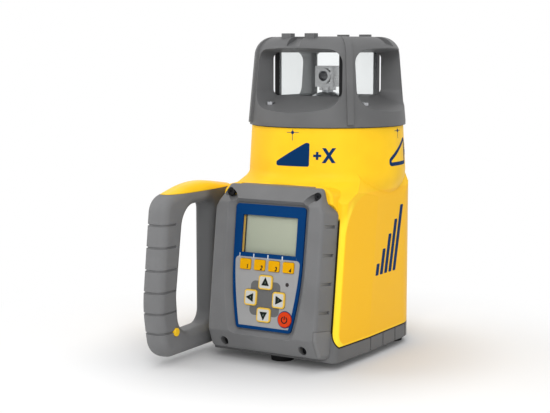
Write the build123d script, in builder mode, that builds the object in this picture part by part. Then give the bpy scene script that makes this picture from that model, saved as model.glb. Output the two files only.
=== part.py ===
from build123d import *
from math import cos, radians, sin, sqrt, tan
import os

os.makedirs("parts", exist_ok=True)

# Sizes in millimetres. X runs to the right of the control panel, Y to the rear and Z up.
# The origin is the mouth of the bottom tripod thread, level with the soles of the feet.

# Casing: flat-sided body with a round neck
wall = 3.0
side_x = 76.0
rear_y = 74.0
rear_corner = 44.0
tray_z = 8.0
housing_z = 22.0
flat_top_z = 168.0
facet_in = 14.0
facet_up = 24.0
flat_bend_r = 20.0
flare_foot = (72.0, 150.0)
flare_middle = (77.6, 171.0)
neck_base_r = 82.4
neck_base_z = 191.0
neck_top_r = 79.8
neck_z = 235.0
shoulder_bend = (88.0, 181.2)
shoulder_edge = (106.0, 169.5)
shoulder_foot = (140.0, 122.0)
rear_shoulder = ((82.4, 188.0), (95.0, 148.0))
beyond = 160.0
seat_gap = 0.3
trim_gap = 0.2
over = 1.0

# Front: the seam between housing and cover leans back
front_tilt = 7.3
seam_y = -101.0
seam_z = 97.0
seam_half = side_x - 10.0
bevel_depth = 6.0
bevel_half = side_x - 3.5
splay_depth = 62.0
front_opening_half = seam_half - 12.0
front_opening_low = -66.0
front_opening_high = 62.0

# Front cover, measured on the leaning seam: half widths, heights along it, depths out of it
cover_half = seam_half - 1.0
cover_top = 82.0
cover_top_half = cover_half - 10.0
cover_ear_low = 70.0
cover_ear_half = cover_half - 6.5
cover_shoulder = 57.0
cover_low = -87.0
cover_foot_half = cover_half - 5.0
cover_depth = 27.0
cover_draft = 6.0
cover_edge_r = 4.0
cover_corner = 6.0
cover_bend = 12.0
cover_slope_start = 62.0
cover_slope_drop = 13.0
cover_chin_start = -68.0
cover_chin_drop = 13.0
block_top = -58.0
block_foot = -76.5
cover_rim_from = 3.0
hood_in = cover_half - 22.0
hood_edge_r = 3.0
hood_corners = (
    (cover_half, -57.0, 4.0),
    (cover_half, 58.0, 12.0),
    (cover_half - 2.6, 74.5, 6.0),
    (cover_half - 7.0, 80.0, 4.0),
    (cover_half - 15.0, cover_top, 6.0),
)
hood_line = ((0.0, 55.0), (1.5, 58.5), (5.0, 61.8), (12.0, 65.6))
recess_floor = 19.5
recess_flare = 38.0
recess_margin = 1.0
panel_ledge = 3.0
panel_shelf = 3.0
cover_wall = 4.0
cover_hollow = 11.5
board_room = 1.5
strip_groove_heights = (44.0, 16.0, -12.0, -40.0)
strip_groove_length = 18.0
strip_groove_width = 3.0
strip_groove_depth = 1.2

# Control panel outline: half widths at four heights
panel_top = 61.0
panel_low = -63.5
panel_half_top = 40.5
panel_half_mid = 40.0
panel_mid = 5.0
panel_half_low = 31.5
panel_corner = 4.0
panel_thick = 2.0

# Keys and display
lcd_half = 31.8
lcd_low = 12.5
lcd_high = 50.0
lcd_lip = 3.0
lcd_window_thick = 1.5
key_gap = 0.3
key_proud = 1.4
key_stem_depth = 4.3
key_stem_inset = 2.5
key_crown_r = 0.6
power_flange_share = 0.7
flange_drop = 0.1
key_flange = 1.0
key_flange_thick = 1.4
soft_key_pitch = 16.6
soft_key_v = 0.8
soft_key_size = (12.6, 10.6)
arrow_centre_v = -32.0
arrow_reach = 16.2
arrow_key_size = (16.0, 14.4)
key_corner = 3.0
power_key_uv = (24.5, -50.3)
power_key_r = 7.6
lamp_uv = (24.5, -16.0)
lamp_r = 1.8

# Boards
board_thick = 1.6
keypad_board_gap = 5.5
board_half = 46.0
board_low = -58.0
board_high = 56.0
main_board_depth = 13.0
main_board_half = 47.0
main_board_low = -58.0
main_board_high = 48.0
standoff_r = 3.0
standoff_uv = (42.0, 44.0)
board_chips = (
    (-18.0, 10.0, 9.0, 9.0),
    (14.0, 12.0, 6.0, 8.0),
    (-8.0, -26.0, 5.0, 12.0),
    (18.0, -30.0, 8.0, 5.0),
)
chip_h = 1.4

# Screws
screw_r = 2.0
screw_head_r = 3.8
screw_head_h = 3.0
screw_socket_r = 1.7
screw_clearance = 0.2
head_clearance = 0.6
screw_bore_r = screw_r + screw_clearance
head_bore_r = screw_head_r + head_clearance
cover_screw_top = (cover_half - 14.5, cover_top - 10.0)
cover_screw_low = (cover_half - 19.5, cover_low + 8.5)
cover_screw_seat = 9.0
upper_screw_seat = 14.5
pocket_lean = (24.0, 34.0)
screw_grip = 9.0
boss_r = 5.0
boss_length = 12.0

# Base tray
tray_floor = 3.5
tray_lip = 4.0
tray_lip_wall = 2.4
foot_sweep_w = 12.6
foot_sweep_h = 14.8
foot_sweep_in = -5.5
foot_draft = 8.0
foot_sole_r = 11.5
foot_places = ((0.0, -92.0), (54.0, 48.0), (-54.0, 48.0))
foot_stud_r = 4.0
foot_stud_h = 1.2
rib_groove_w = 2.4
rib_groove_depth = 1.4
rib_groove_ys = (-72.0, -44.0, -16.0, 12.0, 36.0)
battery_rail_x = 30.0
battery_rail_w = 6.0

# Tripod inserts: 5/8-11 threads, drawn at the thread's inner radius
thread_r = 6.8
insert_r = 13.0
insert_length = 20.0
insert_flange_r = 17.0
insert_flange = 3.0
insert_gap = 0.1
boss_wall = 8.0
rear_insert_z = 120.0
rear_boss_length = 14.0

# Handle: a loop at the left of the panel
handle_thick = 24.8
handle_inner_x = -side_x - trim_gap
handle_outer_x = handle_inner_x - handle_thick
handle_edge_r = 9.5
opening_edge_r = 7.0
handle_profile = (
    (-56.0, 10.0, 12.0),
    (-190.0, 8.0, 22.0),
    (-199.0, 60.0, 120.0),
    (-186.0, 168.0, 20.0),
    (-125.0, 183.0, 150.0),
    (-57.0, 173.0, 12.0),
)
handle_opening = (
    (-104.0, 32.0, 14.0),
    (-163.0, 30.0, 20.0),
    (-166.0, 70.0, 40.0),
    (-153.0, 158.0, 24.0),
    (-104.0, 160.0, 10.0),
)
insert_line = ((-210.0, 171.6), (-140.0, 171.0), (-50.0, 172.0))
handle_pad_y = (-96.0, -66.0)
handle_pad_z = (26.0, 154.0)
handle_pad_in = 6.0
grip_groove_zs = (35.0, 55.0, 76.0, 97.5, 120.0, 142.0)
grip_groove_h = 2.2
grip_groove_depth = 1.3
grip_rear_y = -168.5
plug_r = 4.2
plug_yz = (-171.0, 34.0)
plug_depth = 6.0
plug_proud = 1.6
handle_screw_yzs = ((-76.0, 40.0), (-76.0, 140.0))
handle_screw_grip = 12.0
handle_seat_rise = 3.0
handle_seat_x = wall + handle_seat_rise - side_x

# Lantern
gasket_h = 0.8
skirt_r = 82.2
skirt_waist_z = neck_z + 5.0
lantern_floor_z = neck_z + 29.0
lantern_floor = 3.0
window_rise = 47.0
ceiling_z = lantern_floor_z + window_rise
lantern_top_r = 74.0
lantern_top_z = ceiling_z + 15.5
crown_r = 20.0
roof_r = 47.0
roof_ledge_r = 34.0
roof_ledge = 2.5
skirt_wall = 3.6
skirt_roof_r = 76.4
skirt_roof_z = neck_z + 14.3
floor_bend_r = 48.5
roof_wall = 4.0
floor_hole_r = 22.0
window_plane = 42.0
window_half = 41.5
window_low_z = lantern_floor_z + 2.0
window_high_z = ceiling_z - 0.6
window_corner = 6.0
window_mouth = 86.0
mouth_half = 62.0
mouth_low_z = neck_z + 13.5
mouth_high_z = ceiling_z + 5.5
mouth_corner = 26.0
rib_w = 7.0
rib_proud = 2.6
rib_low_z = neck_z + 3.5
rib_root_r = 66.0
notch_w = 15.0
notch_outer_z = ceiling_z + 2.1
notch_inner_z = lantern_top_z - 2.0
notch_inner_r = 50.0
tab_size = (11.0, 8.0, 3.2)
tab_foot_z = ceiling_z + 6.0
tab_x = 13.5
tab_y = 59.0
pane_half = 38.0
pane_thick = 3.0
seal_side = 5.0
pane_gap = 0.1
wiper_outer_r = 29.0
wiper_h = 1.3
lantern_screw_r = 69.5
lantern_screw_angle = -28.5
lantern_screw_seat_z = neck_z + 22.0

# Gimbal, optics and rotor
pivot_z = neck_z + 5.0
chassis_z = pivot_z - 19.0
chassis_h = 6.0
chassis_in_r = 57.0
chassis_out_r = 74.0
ledge_r = 68.0
ledge_h = 4.0
trunnion_r = 4.0
running_gap = 0.05
post_x = 62.5
post_size = (10.0, 16.0)
post_top = 7.5
ring_in_r = 46.0
ring_out_r = 54.0
ring_h = 10.0
ring_gap = 0.5
pin_reach = 66.0
carrier_r = 17.0
carrier_bore_r = 12.0
carrier_low_z = pivot_z - 90.0
carrier_top = 22.0
dome_r = 30.0
dome_wall = 2.0
dome_reach = 60.0
dome_gap = 0.4
dome_hole_r = 8.0
spindle_r = 5.95
spindle_bore_r = 4.0
spindle_low_z = pivot_z - 48.0
spindle_top_z = pivot_z + 31.0
bearing_h = 6.0
bearing_zs = (pivot_z - 34.0, pivot_z + 6.0)
motor_h = 12.0
motor_gap = 0.5
magnet_r = 8.4
stator_in_r = magnet_r + motor_gap
module_low_z = carrier_low_z + 1.0
module_top_z = module_low_z + 35.0
end_cap_h = 6.0
drive_pin_r = 3.0
hub_r = 9.0
hub_h = 3.5
head_w = 21.0
head_d = 17.0
head_h = 22.0
head_base_h = 4.0
cheek = 3.2
bridge_h = 3.0
lens_r = 5.4
lens_rim_r = 8.2
prism_gap = 0.2
prism_chamfer = 4.0

# Crossed levelling slides
frame_z = 100.0
frame_h = 4.0
frame_half = (58.0, 53.0)
frame_window = 34.0
pillar_xy = (51.0, 49.0)
pillar_r = 4.0
slide_h = 5.0
slide_half_w = 9.0
slide_reach = 52.0
slide_reach_low = 54.0
slide_low_z = frame_z + 21.0
drive_pin_low_z = slide_low_z - 5.0
slide_high_z = slide_low_z + 8.0
slot_half = 36.0
slot_low_w = 8.6
slot_high_w = 10.4
nut_w = 10.0
nut_half = 7.0
screw_axis_low = (48.0, slide_low_z - 9.0)
screw_axis_high = (46.0, slide_high_z + 13.0)
guide_axis_low = (-48.0, slide_low_z - 9.0)
guide_axis_high = (-46.0, slide_high_z + 13.0)
collar_r = 4.0
collar_h = 2.0
lead_r = 2.5
guide_r = 3.0
bracket_at = 40.0
bracket_thick = 5.0
bracket_half_w = 6.0
motor_r = 5.0
motor_length = 23.0

# Battery, jack and latch at the rear
cell_r = 16.4
cell_length = 60.0
cell_gap = 0.5
cell_nub = 1.6
cell_nub_r = 4.5
cell_play = 0.4
holder_wall = 2.0
holder_low_z = 28.0
cell_x = cell_r + 2 * cell_play
cell_z = holder_low_z + holder_wall + cell_r + cell_play
holder_half = cell_x + cell_r + cell_gap + cell_play + holder_wall
holder_top_z = 52.0
holder_y = (-57.0, 67.0)
door_half = holder_half + 3.5
door_low_z = 27.0
door_high_z = 69.0
door_proud = 1.5
door_corner = 5.0
latch_r = 12.0
latch_depth = 3.2
latch_stem_r = 4.0
latch_grip = (20.0, 5.0, 3.4)
latch_z = 54.0
latch_tongue_thick = 2.4
latch_hold = 4.0
jack_z = 85.0
jack_r = 5.5
jack_bore_r = 2.8
jack_depth = 14.0
jack_pin_r = 1.0
jack_pin_drop = 4.0
cap_r = 8.5
cap_thick = 3.0
cap_hinge_z = 97.0
cap_barrel_r = 2.4
cap_barrel_half = 5.0
cap_pin_r = 1.0
cap_hinge_y = 77.0
cap_strap_half = 4.0
lug_r = 2.6
lug_thick = 3.0

# Planes that several pieces share
lean = radians(front_tilt)
front_plane = Plane(origin=(0, seam_y, seam_z), x_dir=(1, 0, 0), z_dir=(0, -cos(lean), sin(lean)))
front_section = Plane(origin=(0, seam_y, seam_z), x_dir=(1, 0, 0), z_dir=(0, sin(lean), cos(lean)))
front_side = Plane(origin=(0, seam_y, seam_z), x_dir=(0, -cos(lean), sin(lean)), z_dir=(-1, 0, 0))
quarter_turns = (0, 90, 180, 270)


def save(piece, label):
    """Label a finished piece and write it to its own file."""
    piece.part.label = label
    export_step(piece.part, f"parts/{label}.step")


def ring(outer_r, inner_r, low_z, height):
    """A flat ring about the Z axis."""
    with BuildPart() as washer:
        with BuildSketch(Plane.XY.offset(low_z)):
            Circle(outer_r)
            Circle(inner_r, mode=Mode.SUBTRACT)
        extrude(amount=height)
    return washer.part


def turned(*points):
    """A solid turned about the Z axis from (radius, height) points."""
    with BuildPart() as solid:
        with BuildSketch(Plane.XZ):
            with BuildLine():
                Polyline(*points, close=True)
            make_face()
        revolve(axis=Axis.Z)
    return solid.part


def both_sides(u, v):
    """A place on the front and its mirror image across the middle."""
    return ((u, v), (-u, v))


def body_prism(low_z, high_z, inset):
    """The casing's plan between two heights: flat sides, round rear corners, a leaning bevelled front."""
    depth = rear_y + beyond
    with BuildPart() as prism:
        with BuildSketch(Plane.XY.offset(low_z)) as plan:
            with Locations((0, rear_y - depth / 2)):
                Rectangle(2 * side_x, depth)
            fillet(plan.vertices().sort_by(Axis.Y)[-2:], rear_corner)
            if inset:
                offset(amount=-inset)
        extrude(amount=high_z - low_z)
        with BuildSketch(front_section):
            with BuildLine():
                splay = Polyline(
                    (bevel_half, bevel_depth),
                    (side_x, splay_depth),
                    (side_x, 2 * beyond),
                    (0, 2 * beyond),
                )
                bevel = TangentArc(splay @ 0, (seam_half, 0), tangent=-(splay % 0))
                Line(bevel @ 1, (0, 0))
                mirror(about=Plane.YZ)
            make_face()
            if inset:
                offset(amount=-inset)
        extrude(amount=2 * beyond, both=True, mode=Mode.INTERSECT)
    return prism.part


def housing_form(inset):
    """The housing's outer form, or its hollow when inset: body, sloping shoulder and round neck."""
    drop = inset * cos(radians(45))
    low_z = housing_z - (wall if inset else 0)
    with BuildPart() as form:
        add(body_prism(low_z, neck_z, inset))
        with BuildSketch(Plane.XZ):
            with BuildLine():
                neck = Line((neck_top_r - inset, neck_z), (neck_base_r - inset, neck_base_z - drop))
                bend = TangentArc(
                    neck @ 1, (shoulder_bend[0] - drop, shoulder_bend[1] - drop), tangent=neck % 1
                )
                slope = Line(bend @ 1, (shoulder_edge[0] - drop, shoulder_edge[1] - drop))
                brow = TangentArc(
                    slope @ 1, (shoulder_foot[0] - drop, shoulder_foot[1] - drop), tangent=slope % 1
                )
                Polyline(
                    brow @ 1,
                    (beyond, shoulder_foot[1] - drop),
                    (beyond, 0),
                    (0, 0),
                    (0, neck_z),
                    neck @ 0,
                )
            make_face()
        revolve(axis=Axis.Z, mode=Mode.INTERSECT)
        (top_r, top_z), (foot_r, foot_z) = rear_shoulder
        with BuildSketch(Plane.XZ):
            with BuildLine():
                Polyline(
                    (top_r - inset, top_z),
                    (foot_r - inset, foot_z),
                    (beyond, foot_z),
                    (beyond, neck_z + wall),
                    (top_r - inset, neck_z + wall),
                    close=True,
                )
            make_face()
        revolve(axis=Axis.Z, revolution_arc=180, mode=Mode.SUBTRACT)
        with BuildSketch(Plane.XZ):
            with BuildLine():
                Polyline(
                    (-side_x, 0),
                    (side_x, 0),
                    (side_x, flat_top_z),
                    (side_x - facet_in, flat_top_z + facet_up),
                    (side_x - facet_in, neck_z + wall),
                    (facet_in - side_x, neck_z + wall),
                    (facet_in - side_x, flat_top_z + facet_up),
                    (-side_x, flat_top_z),
                    close=True,
                )
            crests = make_face().vertices().filter_by_position(Axis.Y, flat_top_z - over, flat_top_z + over)
            fillet(crests, flat_bend_r)
            if inset:
                offset(amount=-inset)
        extrude(amount=beyond, both=True, mode=Mode.INTERSECT)
        with BuildSketch(Plane.XZ):
            with BuildLine():
                low = (flare_foot[0] - inset, flare_foot[1])
                flare = TangentArc(low, (flare_middle[0] - inset, flare_middle[1]), tangent=(0, 1))
                turn = TangentArc(flare @ 1, (neck_base_r - inset, neck_base_z), tangent=flare % 1)
                Polyline(turn @ 1, (neck_top_r - inset, neck_z), (0, neck_z), (0, flare_foot[1]), low)
            make_face()
        revolve(axis=Axis.Z)
    return form.part


def cover_outline(inset):
    """The outline on the seam of the front cover and the base's corner blocks."""
    right = (
        (cover_half, cover_low, cover_corner),
        (cover_half, cover_shoulder, cover_bend),
        (cover_ear_half, cover_ear_low, cover_bend),
        (cover_top_half, cover_top, cover_corner),
    )
    left = tuple((-across, up, radius) for across, up, radius in reversed(right))
    return rounded(right + left, -inset)


def panel_outline(margin):
    """The control panel's outline, tapering towards its foot, grown by a margin."""
    with BuildSketch() as outline:
        with BuildLine():
            foot = Line((0, panel_low), (panel_half_low, panel_low))
            waist = (panel_half_mid, panel_mid)
            TangentArc(waist, foot @ 1, tangent=(panel_half_mid - panel_half_top, panel_mid - panel_top))
            Polyline(waist, (panel_half_top, panel_top), (0, panel_top))
            mirror(about=Plane.YZ)
        make_face()
        rows = outline.vertices().group_by(Axis.Y)
        fillet(rows[0] + rows[-1], panel_corner)
        if margin:
            offset(amount=margin)
    return outline.sketch


def rod(plane, place, radius, low, high):
    """A round bar along a plane's normal between two heights above it."""
    with BuildPart() as bar:
        with BuildSketch(plane.offset(low)):
            with Locations(place):
                Circle(radius)
        extrude(amount=high - low)
    return bar.part


def socket_head(plane, place, seat):
    """A screw's head standing on its seat, with a socket for the driver."""
    with BuildPart() as head:
        add(rod(plane, place, screw_head_r, seat, seat + screw_head_h))
        socket = (seat + screw_head_h / 2, seat + screw_head_h + over)
        add(rod(plane, place, screw_socket_r, *socket), mode=Mode.SUBTRACT)
    return head.part


def block(x_span, y_span, z_span):
    """A box between pairs of X, Y and Z values."""
    spans = (x_span, y_span, z_span)
    with BuildPart() as solid:
        with Locations(tuple((low + high) / 2 for low, high in spans)):
            Box(*(high - low for low, high in spans))
    return solid.part


def rounded(corners, margin=0):
    """A polygon whose corners (across, up, radius) are rounded, grown by a margin."""
    with BuildSketch() as outline:
        with BuildLine():
            Polyline(*((across, up) for across, up, radius in corners), close=True)
        make_face()
        for across, up, radius in corners:
            fillet(outline.vertices().sort_by_distance((across, up, 0))[0], radius)
        if margin:
            offset(amount=margin)
    return outline.sketch


def cover_form():
    """The front's outer form: the outline drawn out with draft, sloping top and chin and rounded rims."""
    slope_rise = cover_top - cover_slope_start
    chin_fall = cover_chin_start - cover_low
    with BuildPart() as form:
        with BuildSketch(front_plane.offset(trim_gap)):
            add(cover_outline(0))
        extrude(amount=cover_depth - trim_gap, taper=cover_draft)
        with BuildSketch(front_side):
            with BuildLine():
                Polyline(
                    (cover_depth + cover_slope_drop, cover_slope_start - slope_rise),
                    (cover_depth + cover_slope_drop, cover_slope_start + 2 * slope_rise),
                    (cover_depth - 2 * cover_slope_drop, cover_slope_start + 2 * slope_rise),
                    close=True,
                )
            make_face()
            with BuildLine():
                Polyline(
                    (cover_depth + cover_chin_drop, cover_chin_start + chin_fall),
                    (cover_depth - 2 * cover_chin_drop, cover_chin_start - 2 * chin_fall),
                    (cover_depth + cover_chin_drop, cover_chin_start - 2 * chin_fall),
                    close=True,
                )
            make_face()
        extrude(amount=2 * cover_half, both=True, mode=Mode.SUBTRACT)
        depth = {edge: front_plane.to_local_coords(edge.center()).Z for edge in form.edges()}
        fillet([edge for edge in depth if depth[edge] > cover_rim_from], cover_edge_r)
    return form.part


def corner_regions(gap):
    """The two lower front corners that belong to the base, shrunk by a gap."""
    with BuildPart() as corners:
        for side in (1, -1):
            with BuildSketch(front_plane.offset(-wall)):
                corner_u = side * (cover_foot_half + gap + cover_half / 2)
                with Locations((corner_u, block_top - gap - cover_half / 2)):
                    Rectangle(cover_half, cover_half)
            extrude(amount=2 * cover_depth)
    return corners.part


def hood_region(gap):
    """The two upper front corners that belong to the housing, shrunk by a gap."""
    out = hood_line[-1][0]
    line = [(w - (gap if w == out else 0), v + gap) for w, v in hood_line]
    with BuildPart() as region:
        for side in (1, -1):
            with BuildSketch(front_side.offset(-side * (hood_in + gap))):
                with BuildLine():
                    Polyline(
                        (-beyond, line[0][1]),
                        *line,
                        (out - gap, beyond),
                        (-beyond, beyond),
                        close=True,
                    )
                make_face()
            extrude(amount=-side * beyond)
    return region.part


def front_foot(gap):
    """The corners between seam and foot that sweep up in an arc and belong to the base, shrunk by a gap."""
    arc_v = (housing_z - seam_z) / cos(lean) + foot_sweep_h
    near = foot_sweep_in + gap
    with BuildPart() as region:
        for side in (1, -1):
            diagonal = Plane(front_plane * Location((side * seam_half, 0, 0), (0, side * 45, 0)))
            with BuildSketch(diagonal):
                with Locations((side * (foot_sweep_w + near) / 2, arc_v - gap)):
                    Rectangle(foot_sweep_w - near, 4 * foot_sweep_h, align=(Align.CENTER, Align.MAX))
                with Locations((side * foot_sweep_w, arc_v)):
                    Ellipse(foot_sweep_w + gap, foot_sweep_h + gap, mode=Mode.SUBTRACT)
            extrude(amount=foot_sweep_w, both=True)
    return region.part


def handle_form(inset):
    """The handle loop with rounded edges, shrunk by an inset."""
    with BuildPart() as form:
        with BuildSketch(Plane.YZ.offset(handle_outer_x + inset)):
            add(rounded(handle_profile, -inset))
            add(rounded(handle_opening, inset), mode=Mode.SUBTRACT)
        extrude(amount=handle_inner_x - handle_outer_x - 2 * inset)
        ends = form.faces().sort_by(Axis.X)
        outer_edges = ends[0].outer_wire().edges() + ends[-1].outer_wire().edges()
        fillet(outer_edges, handle_edge_r - inset)
        ends = form.faces().sort_by(Axis.X)
        inner_edges = ends[0].inner_wires()[0].edges() + ends[-1].inner_wires()[0].edges()
        fillet(inner_edges, opening_edge_r - inset)
    return form.part


def above_handle_line(drop):
    """Everything above the line where the handle's yellow top begins, lowered by a drop."""
    with BuildPart() as region:
        with BuildSketch(Plane.YZ.offset(handle_outer_x - wall)):
            with BuildLine():
                ends = [(y, z - drop) for y, z in insert_line]
                line = ThreePointArc(*ends)
                Polyline(
                    line @ 1,
                    (insert_line[2][0], neck_z),
                    (insert_line[0][0], neck_z),
                    line @ 0,
                )
            make_face()
        extrude(amount=handle_inner_x - handle_outer_x + 2 * wall)
    return region.part


def window_sketch(half_width, low_z, high_z, corner):
    """A rounded upright rectangle for one lantern window, centred sideways."""
    with BuildSketch() as outline:
        with Locations((0, (low_z + high_z) / 2)):
            RectangleRounded(2 * half_width, high_z - low_z, corner)
    return outline.sketch


def window_cut(turn):
    """The opening of one lantern window: a straight passage at the pane, then a flare to the outside."""
    angle = radians(turn)
    across = (-sin(angle), cos(angle), 0)
    outward = Plane(origin=(0, 0, 0), x_dir=across, z_dir=(cos(angle), sin(angle), 0))
    with BuildPart() as passage:
        with BuildSketch(outward.offset(pane_half)):
            add(window_sketch(window_half, window_low_z, window_high_z, window_corner))
        extrude(amount=window_plane - pane_half)
    with BuildPart() as flare:
        with BuildSketch(outward.offset(window_plane)):
            add(window_sketch(window_half, window_low_z, window_high_z, window_corner))
        with BuildSketch(outward.offset(window_mouth)):
            add(window_sketch(mouth_half, mouth_low_z, mouth_high_z, mouth_corner))
        loft(ruled=True)
        add(passage.part)
    return flare.part


def radial_plate(turn, thickness, *points):
    """A flat plate standing on the axis, cut to (radius, height) points and turned about Z."""
    angle = radians(turn)
    outward = (cos(angle), sin(angle), 0)
    upright = Plane(origin=(0, 0, 0), x_dir=outward, z_dir=(sin(angle), -cos(angle), 0))
    with BuildPart() as plate:
        with BuildSketch(upright):
            with BuildLine():
                Polyline(*points, close=True)
            make_face()
        extrude(amount=thickness / 2, both=True)
    return plate.part


def key(outline):
    """A key cap with a flange behind the panel and a stem towards the board, cut to a sketch function."""
    with BuildPart() as cap:
        with BuildSketch(front_plane.offset(recess_floor - flange_drop)):
            add(outline(0))
        extrude(amount=panel_thick + flange_drop + key_proud)
        with BuildSketch(front_plane.offset(recess_floor - flange_drop - key_flange_thick)):
            add(outline(key_flange))
        extrude(amount=key_flange_thick)
        with BuildSketch(front_plane.offset(recess_floor - key_stem_depth)):
            add(outline(-key_stem_inset))
        extrude(amount=key_stem_depth - flange_drop)
    return cap.part


def soft_key_outline(index, margin):
    """A soft key's outline, counted from the left."""
    with BuildSketch() as outline:
        with Locations(((index - 1.5) * soft_key_pitch, soft_key_v)):
            width, height = (size + 2 * margin for size in soft_key_size)
            RectangleRounded(width, height, key_corner / 2 + margin / 4)
    return outline.sketch


def arrow_key_outline(turn, margin):
    """An arrow key's outline: a box turned about the middle of the cross."""
    with BuildSketch() as outline:
        angle = radians(turn)
        with Locations((arrow_reach * cos(angle), arrow_centre_v + arrow_reach * sin(angle))):
            RectangleRounded(
                arrow_key_size[1] + 2 * margin,
                arrow_key_size[0] + 2 * margin,
                key_corner + margin / 4,
                rotation=turn,
            )
    return outline.sketch


def power_key_outline(margin):
    """The round power key's outline."""
    with BuildSketch() as outline:
        with Locations(power_key_uv):
            Circle(power_key_r + margin * power_flange_share)
    return outline.sketch


def key_outlines():
    """Outline functions of the nine keys by name."""
    outlines = {}
    for index in range(4):
        outlines[f"soft_key_{index + 1}"] = lambda margin, index=index: soft_key_outline(index, margin)
    for name, turn in (("right", 0), ("up", 90), ("left", 180), ("down", 270)):
        outlines[f"arrow_key_{name}"] = lambda margin, turn=turn: arrow_key_outline(turn, margin)
    outlines["power_key"] = power_key_outline
    return outlines


# Bosses for the upper cover screws, kept inside the housing's form
with BuildPart() as upper_bosses:
    with BuildSketch(front_plane):
        with Locations(*both_sides(*cover_screw_top)):
            Circle(boss_r)
    extrude(amount=-boss_length - wall)
    add(housing_form(0), mode=Mode.INTERSECT)

# Hood: the housing's shoulder drawn forward behind the cover's upper corners
with BuildPart() as cover_back:
    with BuildSketch(front_plane.offset(trim_gap)):
        add(cover_outline(0))
        with Locations((0, cover_low)):
            Rectangle(4 * cover_half, 2 * (cover_shoulder - cover_low), mode=Mode.SUBTRACT)
    extrude(amount=-boss_length - wall)

with BuildPart() as hood:
    hood_mirror = tuple((-across, up, radius) for across, up, radius in reversed(hood_corners))
    with BuildSketch(front_plane.offset(-boss_length - wall)):
        add(rounded(hood_corners + hood_mirror, 0))
    extrude(amount=boss_length + wall + hood_line[-1][0] - seat_gap)
    outwards = Axis(front_plane.origin, front_plane.z_dir)
    fillet(hood.faces().sort_by(outwards)[-1].edges(), hood_edge_r)
    add(hood_region(seat_gap), mode=Mode.INTERSECT)
    add(housing_form(wall), mode=Mode.SUBTRACT)

# Main housing: yellow shell with a front opening, a battery door opening and inner ledges
boss_y = rear_y - wall - rear_boss_length
with BuildPart() as main_housing:
    add(housing_form(0))
    add(housing_form(wall), mode=Mode.SUBTRACT)
    with BuildSketch(front_plane.offset(-bevel_depth - wall)):
        with Locations((0, (front_opening_low + front_opening_high) / 2)):
            RectangleRounded(2 * front_opening_half, front_opening_high - front_opening_low, wall)
    extrude(amount=bevel_depth + 2 * wall, mode=Mode.SUBTRACT)
    add(ring(neck_base_r - wall + trim_gap, ledge_r, chassis_z - ledge_h, ledge_h))
    add(hood.part)
    add(upper_bosses.part)
    for place in both_sides(*cover_screw_top):
        add(rod(front_plane, place, screw_r + running_gap, -boss_length, cover_depth), mode=Mode.SUBTRACT)
    add(front_foot(0), mode=Mode.SUBTRACT)
    add(rod(Plane.XZ, (0, rear_insert_z), insert_r + boss_wall, trim_gap - rear_y, -boss_y))
    add(rod(Plane.XZ, (0, jack_z), jack_r + wall, trim_gap - rear_y, -boss_y))
    bore_y = (-rear_y - wall, -boss_y)
    add(rod(Plane.XZ, (0, rear_insert_z), insert_r + insert_gap, *bore_y), mode=Mode.SUBTRACT)
    add(rod(Plane.XZ, (0, jack_z), jack_r + insert_gap, *bore_y), mode=Mode.SUBTRACT)
    with BuildSketch(Plane.XZ.offset(-rear_y - wall)):
        with Locations((0, (door_low_z + door_high_z) / 2)):
            RectangleRounded(2 * door_half, door_high_z - door_low_z, door_corner)
    extrude(amount=2 * wall + over, mode=Mode.SUBTRACT)
    for place in handle_screw_yzs:
        add(rod(Plane.YZ, place, boss_r, handle_seat_x - wall / 2, handle_seat_x))
        add(rod(Plane.YZ, place, screw_bore_r, -side_x - wall, handle_seat_x + over), mode=Mode.SUBTRACT)
    lug_near = cap_barrel_half + seat_gap
    lug_far = lug_near + lug_thick
    lug_y = (rear_y - trim_gap, cap_hinge_y + lug_r)
    for side in (1, -1):
        lug_x = sorted((side * lug_near, side * lug_far))
        add(block(lug_x, lug_y, (cap_hinge_z - lug_r, cap_hinge_z + lug_r)))
    hinge = (cap_hinge_y, cap_hinge_z)
    add(rod(Plane.YZ, hinge, cap_pin_r + running_gap, -lug_far - over, lug_far + over), mode=Mode.SUBTRACT)
save(main_housing, "main_housing")

# Front cover: grey frame over the housing's front, with a flared recess for the control panel
all_cover_screws = [(place, upper_screw_seat) for place in both_sides(*cover_screw_top)]
all_cover_screws += [(place, cover_screw_seat) for place in both_sides(*cover_screw_low)]
with BuildPart() as cover_brow:
    add(cover_back.part)
    add(housing_form(-seat_gap), mode=Mode.SUBTRACT)

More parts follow.
